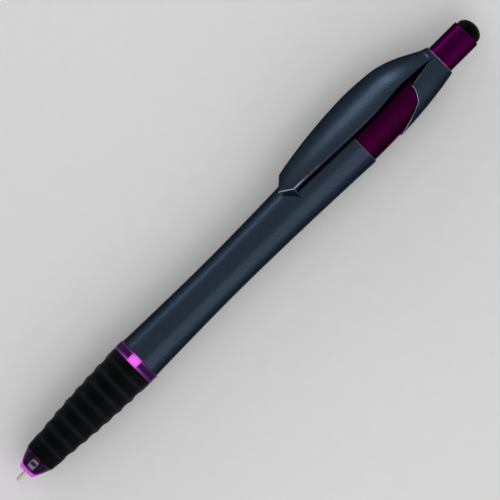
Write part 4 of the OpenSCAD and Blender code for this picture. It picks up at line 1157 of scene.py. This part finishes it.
# %% Make the refill point
SOCKET_PLAY, LIP_AT, SHANK_FRONT, SHANK_REAR = 0.02, 0.01, 10.7, 15.5
LIP_ROUND, SHANK_ROUND, HEEL_ROUND, TAIL_ROUND = 0.03, 0.4, 0.1, 0.2
point_front, point_rear = ends("refill_point")
ball_front, ball_rear = ends("writing_ball")
ball_at = (ball_front + ball_rear) / 2
socket_r = (ball_rear - ball_front) / 2 + SOCKET_PLAY
lip_turn = np.arcsin((ball_at - point_front) / socket_r)
socket = [(ball_at + socket_r * cos(turn), socket_r * sin(turn))
          for turn in np.linspace(0, pi / 2 + lip_turn, 14)]
lip_r, neck_r = skin("refill_point", point_front + LIP_AT), skin("refill_point", nose_front)
shank_r = skin("refill_point", (SHANK_FRONT + SHANK_REAR) / 2)
tail_r = skin("refill_point", point_rear - 1)
point = turned("refill_nib", [
    *socket, (point_front, lip_r, LIP_ROUND), (nose_front, neck_r), (SHANK_FRONT, shank_r, SHANK_ROUND),
    (SHANK_REAR, shank_r, HEEL_ROUND), (SHANK_REAR, tail_r), (point_rear, tail_r, TAIL_ROUND),
    (point_rear, 0)], sides=96, loop=False)
fitted(point, turned_metal, "carriage", "refill_point")

# %% Build the spring's tree
sizes = ("Front", "Length", "Mean Radius", "Wire", "Turns", "Closing")
coil_tree, taken, given = new_shape("Wound spring", **dict.fromkeys(sizes, "Float"))
node, do = partial(add, coil_tree), partial(calc, coil_tree)
path = node("GeometryNodeCurveSpiral", {
    "Resolution": 40, "Rotations": taken["Turns"], "Start Radius": taken["Mean Radius"],
    "End Radius": taken["Mean Radius"], "Height": taken["Length"]})
spot = position(coil_tree)
share_up = do("DIVIDE", spot["Z"], taken["Length"])
swayed = do("SINE", do("MULTIPLY", share_up, 2 * pi))
eased = do("MULTIPLY_ADD", swayed, do("DIVIDE", taken["Closing"], -2 * pi), share_up)
laid = node("ShaderNodeCombineXYZ", {
    "X": do("MULTIPLY_ADD", eased, taken["Length"], taken["Front"]), "Y": spot["X"], "Z": spot["Y"]})
path = node("GeometryNodeSetPosition", {"Geometry": path.outputs[0], "Position": laid.outputs[0]})
section = node("GeometryNodeCurvePrimitiveCircle", {"Resolution": 14, "Radius": taken["Wire"]})
wire = node("GeometryNodeCurveToMesh", {
    "Curve": path.outputs[0], "Profile Curve": section.outputs[0], "Fill Caps": True})
ended(coil_tree, wire.outputs[0], taken["Finish"], given)

# %% Wind the return spring
WIRE_R, SPRING_R, SPRING_TURNS, SPRING_CLOSING, WIRE_SHARP = 0.2, 1.5, 7.5, 0.3, 50
spring_front, spring_rear = ends("return_spring")
spring = grown("wound_spring", coil_tree, {
    "Front": (spring_front + WIRE_R) * MM, "Length": (spring_rear - spring_front - 2 * WIRE_R) * MM,
    "Mean Radius": SPRING_R * MM, "Wire": WIRE_R * MM, "Turns": SPRING_TURNS, "Closing": SPRING_CLOSING},
    drawn_wire)
fitted(tidied(spring, WIRE_SHARP), drawn_wire, None, "return_spring")
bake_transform(spring)

# %% Stack the cells
line_tree, taken, given = new_shape("Stack along the pen", Count="Int", Pitch="Float")
spaced = add(line_tree, "ShaderNodeCombineXYZ", {"X": taken["Pitch"]})
spots = add(line_tree, "GeometryNodeMeshLine", {"Count": taken["Count"], "Offset": spaced.outputs[0]})
copies = add(line_tree, "GeometryNodeInstanceOnPoints", {
    "Points": spots.outputs[0], "Instance": taken["Geometry"]})
ended(line_tree, copies.outputs[0], taken["Finish"], given)

CELLS, CELL_STEP, STEP_HIGH, STEP_ROUND, CELL_ROUND = 3, 0.8, 0.3, 0.12, 0.25
stack_front, stack_rear = ends("button_cells")
cell_len = (stack_rear - stack_front) / CELLS
cell_r = skin("button_cells", stack_front + cell_len / 2)
step_at, cell_end = stack_front + STEP_HIGH, stack_front + cell_len
can = turned("cell_can", [
    (stack_front, 0), (stack_front, cell_r - CELL_STEP, STEP_ROUND), (step_at, cell_r - CELL_STEP),
    (step_at, cell_r, CELL_ROUND), (cell_end, cell_r, CELL_ROUND), (cell_end, 0)], sides=72, loop=False)
cells = grown("stacked_cells", line_tree, {"Count": CELLS, "Pitch": cell_len * MM}, plated_can, can.data)
bpy.data.objects.remove(can)
fitted(joined(cells), plated_can, "carriage", "button_cells")
print(CELLS, "cells of", mm(2 * cell_r), "by", mm(cell_len))

# %% [markdown]
# ## The lamp in the nose
# The lamp is a surface-mount block: a pale frame with rounded corners, and a sunk window with a small
# chip in it, a little behind the block's middle. Each level of the block is a rounded rectangle, and the
# levels are woven like the rings of a turned piece. A stored number marks the window, so that one finish
# can show frame and window. The frame's grey emission is painted light, standing in for the studio
# light that the clear nose keeps from it.

# %% Make the nose lamp
FRAME_LONG, FRAME_WIDE, SLOT_BACK, SUNK, CHIP = 0.62, 0.16, 0.18, 0.22, 0.14
DRAFT, TOP_EDGE, TOP_SOFT, SLOT_EDGE, CORNER, CHIP_MARK = 0.02, 0.06, 0.07, 0.05, 0.16, 0.85
lamp_low, lamp_high = (np.array(corner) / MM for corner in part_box("nose_led"))
lamp_long, lamp_wide = (lamp_high[:2] - lamp_low[:2]) / 2
lamp_mid, lamp_top = (lamp_low[0] + lamp_high[0]) / 2, lamp_high[2]


def rounded_loop(half_long, half_wide, corner):
    """Points of a rectangle with round corners, around its middle."""
    loop = []
    for quarter in range(4):
        side_long = (half_long - corner) * (1 if quarter in (0, 3) else -1)
        side_wide = (half_wide - corner) * (1 if quarter in (0, 1) else -1)
        for turn in np.linspace(quarter * pi / 2, (quarter + 1) * pi / 2, 12):
            loop.append((side_long + corner * cos(turn), side_wide + corner * sin(turn)))
    return np.array(loop)


lamp_rows, lamp_window = [], []
for cut_long, cut_wide, back, level, window in (
        (0, 0, 0, lamp_low[2], 0), (DRAFT, DRAFT, 0, lamp_top - TOP_EDGE, 0),
        (TOP_SOFT, TOP_SOFT, 0, lamp_top, 0),
        (FRAME_LONG - SLOT_EDGE, FRAME_WIDE - SLOT_EDGE, SLOT_BACK, lamp_top, 0),
        (FRAME_LONG + DRAFT, FRAME_WIDE + DRAFT, SLOT_BACK, lamp_top - SUNK, 1),
        (lamp_long - CHIP, lamp_wide - CHIP, SLOT_BACK, lamp_top - SUNK, 1),
        (lamp_long - CHIP, lamp_wide - CHIP, SLOT_BACK, lamp_top - SUNK / 2, CHIP_MARK)):
    half_long, half_wide = lamp_long - cut_long, lamp_wide - cut_wide
    loop = rounded_loop(half_long, half_wide, min(CORNER, half_long / 2, half_wide / 2))
    lamp_rows.append(np.column_stack([loop + (lamp_mid + back, 0), np.full(len(loop), level)]))
    lamp_window.append(window)
lamp = woven("nose_lamp", lamp_rows, {"window": np.array(lamp_window)}, loop=False)

# %% Finish the lamp
WINDOW_GLOSS, FRAME_ROUGH = -0.3, 0.5
lamp_finish, tree, shader, place = new_finish("lamp_block", {"Emission Strength": 1, "Metallic": 0})
speck = effect(tree, grain, place, Fineness=6000, Stretch=EVEN)
window = mark(tree, "window")
ceramic = toned(tree, screen(176, 172, 174), speck["Tone"])
# the frame's grey emission is painted light; the window's dim pink glow is the lamp's own
feed(tree, shader, {
    "Base Color": mixed(tree, window, ceramic, screen(46, 34, 40)),
    "Emission Color": mixed(tree, window, screen(86, 78, 82), screen(22, 8, 24)),
    "Roughness": calc(tree, "MULTIPLY_ADD", window, WINDOW_GLOSS, FRAME_ROUGH)})
bumped(tree, shader, speck["Height"], depth=0.01, strength=0.3)
fitted(lamp, lamp_finish, "pen_body", "nose_led")
print("lamp", mm(2 * lamp_long), "by", mm(2 * lamp_wide))

# %% [markdown]
# ## Film and tube, and the solids that stay
# The pieces inside keep their solids, because they are hidden or seen only through the nose. They still
# get their own finishes: a pale rotor, a black carriage, amber film with copper tracks, a clear refill
# tube and dark paste. The tracks run along the pen, so a sine of the sideways coordinate draws them.

# %% Build the film and the tube
TRACK_PITCH, TRACK_EDGE, TRACK_FULL, TRACK_METAL, FILM_VARIES, FILM_ROUGH = 0.5, 0.1, 0.4, 0.7, 0.3, 0.25
film, tree, shader, place = new_finish("amber_film", {"Specular IOR Level": 0.5})
sideways = add(tree, "ShaderNodeSeparateXYZ", {0: place}).outputs["Y"]
wave = calc(tree, "SINE", calc(tree, "MULTIPLY", sideways, 2 * pi / (TRACK_PITCH * MM)))
track = ranged(tree, wave, TRACK_EDGE, TRACK_FULL)
speck = effect(tree, grain, place, Fineness=2500, Stretch=EVEN)
feed(tree, shader, {
    "Base Color": toned(tree, mixed(tree, track, screen(64, 37, 19), screen(98, 59, 38)), speck["Tone"]),
    "Metallic": calc(tree, "MULTIPLY", track, TRACK_METAL),
    "Roughness": calc(tree, "MULTIPLY_ADD", speck["Height"], FILM_VARIES, FILM_ROUGH)})
bumped(tree, shader, track, depth=0.02, strength=0.4)
tube_clear = lit_plastic(
    "tube_clear", {"Transmission Weight": 0.85, "IOR": 1.49, "Metallic": 0, "Emission Strength": 0},
    screen(226, 230, 232), screen(200, 206, 210), DARK, screen(1, 1, 1), roughness=0.12)
print("inside finishes:", film.name, tube_clear.name)

# %% Dress the solids that stay
stays = {
    polished_ball: ["writing_ball"], core_plastic: ["grip_core"], white_moulding: ["cam_rotor"],
    tube_clear: ["ink_tube"], ink_paste: ["ink"], film: ["flex_circuit"], lamp_finish: ["ring_led"],
    black_moulding: ["resistor", "battery_carriage", "carriage_cap"],
    stamped_brass: ["contact_rails", "positive_contact", "negative_contact"], drawn_wire: ["cell_spring"]}
for finish, nodes in stays.items():
    for solid in (frame["nodes"][name] for name in nodes):
        if not solid.material_slots:
            solid.data.materials.append(finish)
        for slot in solid.material_slots:
            slot.material = finish
    print(finish.name, "on", ", ".join(nodes))

# %% [markdown]
# ## The studio
# The pen lies on a pale floor under a large softbox on one side. It stands so that its upper edge draws
# a line along the top of the barrel, as a product photographer would place it. A small one stands low on
# the other side, near the horizon, where the clip's top mirrors it. A grid narrows its beam, so that it
# doesn't spill on the floor. A dim world fills the shadows; rays that the camera, a reflection or clear
# plastic sends past the floor see a pale backdrop instead.

# %% Floor and world
FLOOR_HALF, FLOOR_DIM, FLOOR_PALE, AMBIENT, BACKDROP = 3.0, 0.78, 0.82, 0.62, 0.88
corners = [(-FLOOR_HALF, -FLOOR_HALF), (FLOOR_HALF, -FLOOR_HALF), (FLOOR_HALF, FLOOR_HALF),
           (-FLOOR_HALF, FLOOR_HALF)]
mesh = bpy.data.meshes.new("pale_floor")
mesh.from_pydata([(x, y, cad_low.z) for x, y in corners], [], [(0, 1, 2, 3)])
floor = bpy.data.objects.new("pale_floor", mesh)
card, tree, shader, place = new_finish("pale_card", {"Roughness": 0.85, "Specular IOR Level": 0.2})
speck = effect(tree, grain, place, Fineness=300, Stretch=EVEN)
plug(tree, ranged(tree, speck["Height"], 0, 1, FLOOR_DIM, FLOOR_PALE), shader.inputs["Base Color"])
mesh.materials.append(card)
studio = bpy.context.scene
studio.collection.objects.link(floor)
studio.view_settings.view_transform = "Standard"
studio.world = bpy.data.worlds.new("Pale studio")
studio.world.use_nodes = True
sky = studio.world.node_tree
rays = add(sky, "ShaderNodeLightPath").outputs
seen = calc(sky, "MAXIMUM", rays["Is Camera Ray"], rays["Is Glossy Ray"])
seen = calc(sky, "MAXIMUM", seen, rays["Is Transmission Ray"])
feed(sky, sky.nodes["Background"], {
    "Color": (1, 1, 1, 1), "Strength": calc(sky, "MULTIPLY_ADD", seen, BACKDROP - AMBIENT, AMBIENT)})
print("floor at", mm(cad_low.z / MM))

# %% Softboxes
pen_middle = Vector(((cad_low.x + cad_high.x) / 2, 0, 0))


def softbox(name, tilt, swing, distance, wide, tall, radiance, along, spread=180):
    """A rectangular lamp that faces the pen, tilted from overhead to +Y and swung from there to +X."""
    half_spread, tilt, swing = radians(spread / 2), radians(tilt), radians(swing)
    towards = Vector((sin(tilt) * sin(swing), sin(tilt) * cos(swing), cos(tilt)))
    light = bpy.data.lights.new(name, "AREA")
    light.shape = "RECTANGLE"
    light.size, light.size_y = wide, tall
    light.spread = 2 * half_spread
    light.energy = radiance * pi * wide * tall * (1 - half_spread / tan(half_spread))
    holder = bpy.data.objects.new(name, light)
    holder.location = pen_middle + Vector((along, 0, 0)) + distance * towards
    holder.rotation_euler = towards.to_track_quat("Z", "Y").to_euler()
    holder.visible_camera = False
    studio.collection.objects.link(holder)


softbox("key_softbox", tilt=-54, swing=0, distance=0.5, wide=0.7, tall=0.56, radiance=0.9, along=-0.2)
softbox("low_softbox", tilt=77, swing=14, distance=0.3, wide=0.26, tall=0.12, radiance=5, along=0.05,
        spread=60)
print("lamps:", [light.name for light in bpy.data.lights])

# %% [markdown]
# ## The camera
# The photograph looks straight down on the pen, which runs from lower left to upper right. A long lens
# keeps the pen's sides parallel. The field is 113 mm wide at the height of the axis.

# %% Place the camera
LENS, SENSOR, FIELD, LOOK_AT, LOOK_ASIDE, TURN = 600.0, 36.0, 113.0, 74.0, -0.22, -44.86
lens = bpy.data.cameras.new("overhead")
lens.lens, lens.sensor_width = LENS, SENSOR
lens.clip_start = 0.01
camera = bpy.data.objects.new("overhead", lens)
camera.location = (LOOK_AT * MM, LOOK_ASIDE * MM, FIELD * MM * LENS / SENSOR)
camera.rotation_euler = (0, 0, radians(TURN))
studio.collection.objects.link(camera)
studio.camera = camera
print("camera", round(camera.location.z, 3), "m above the pen")
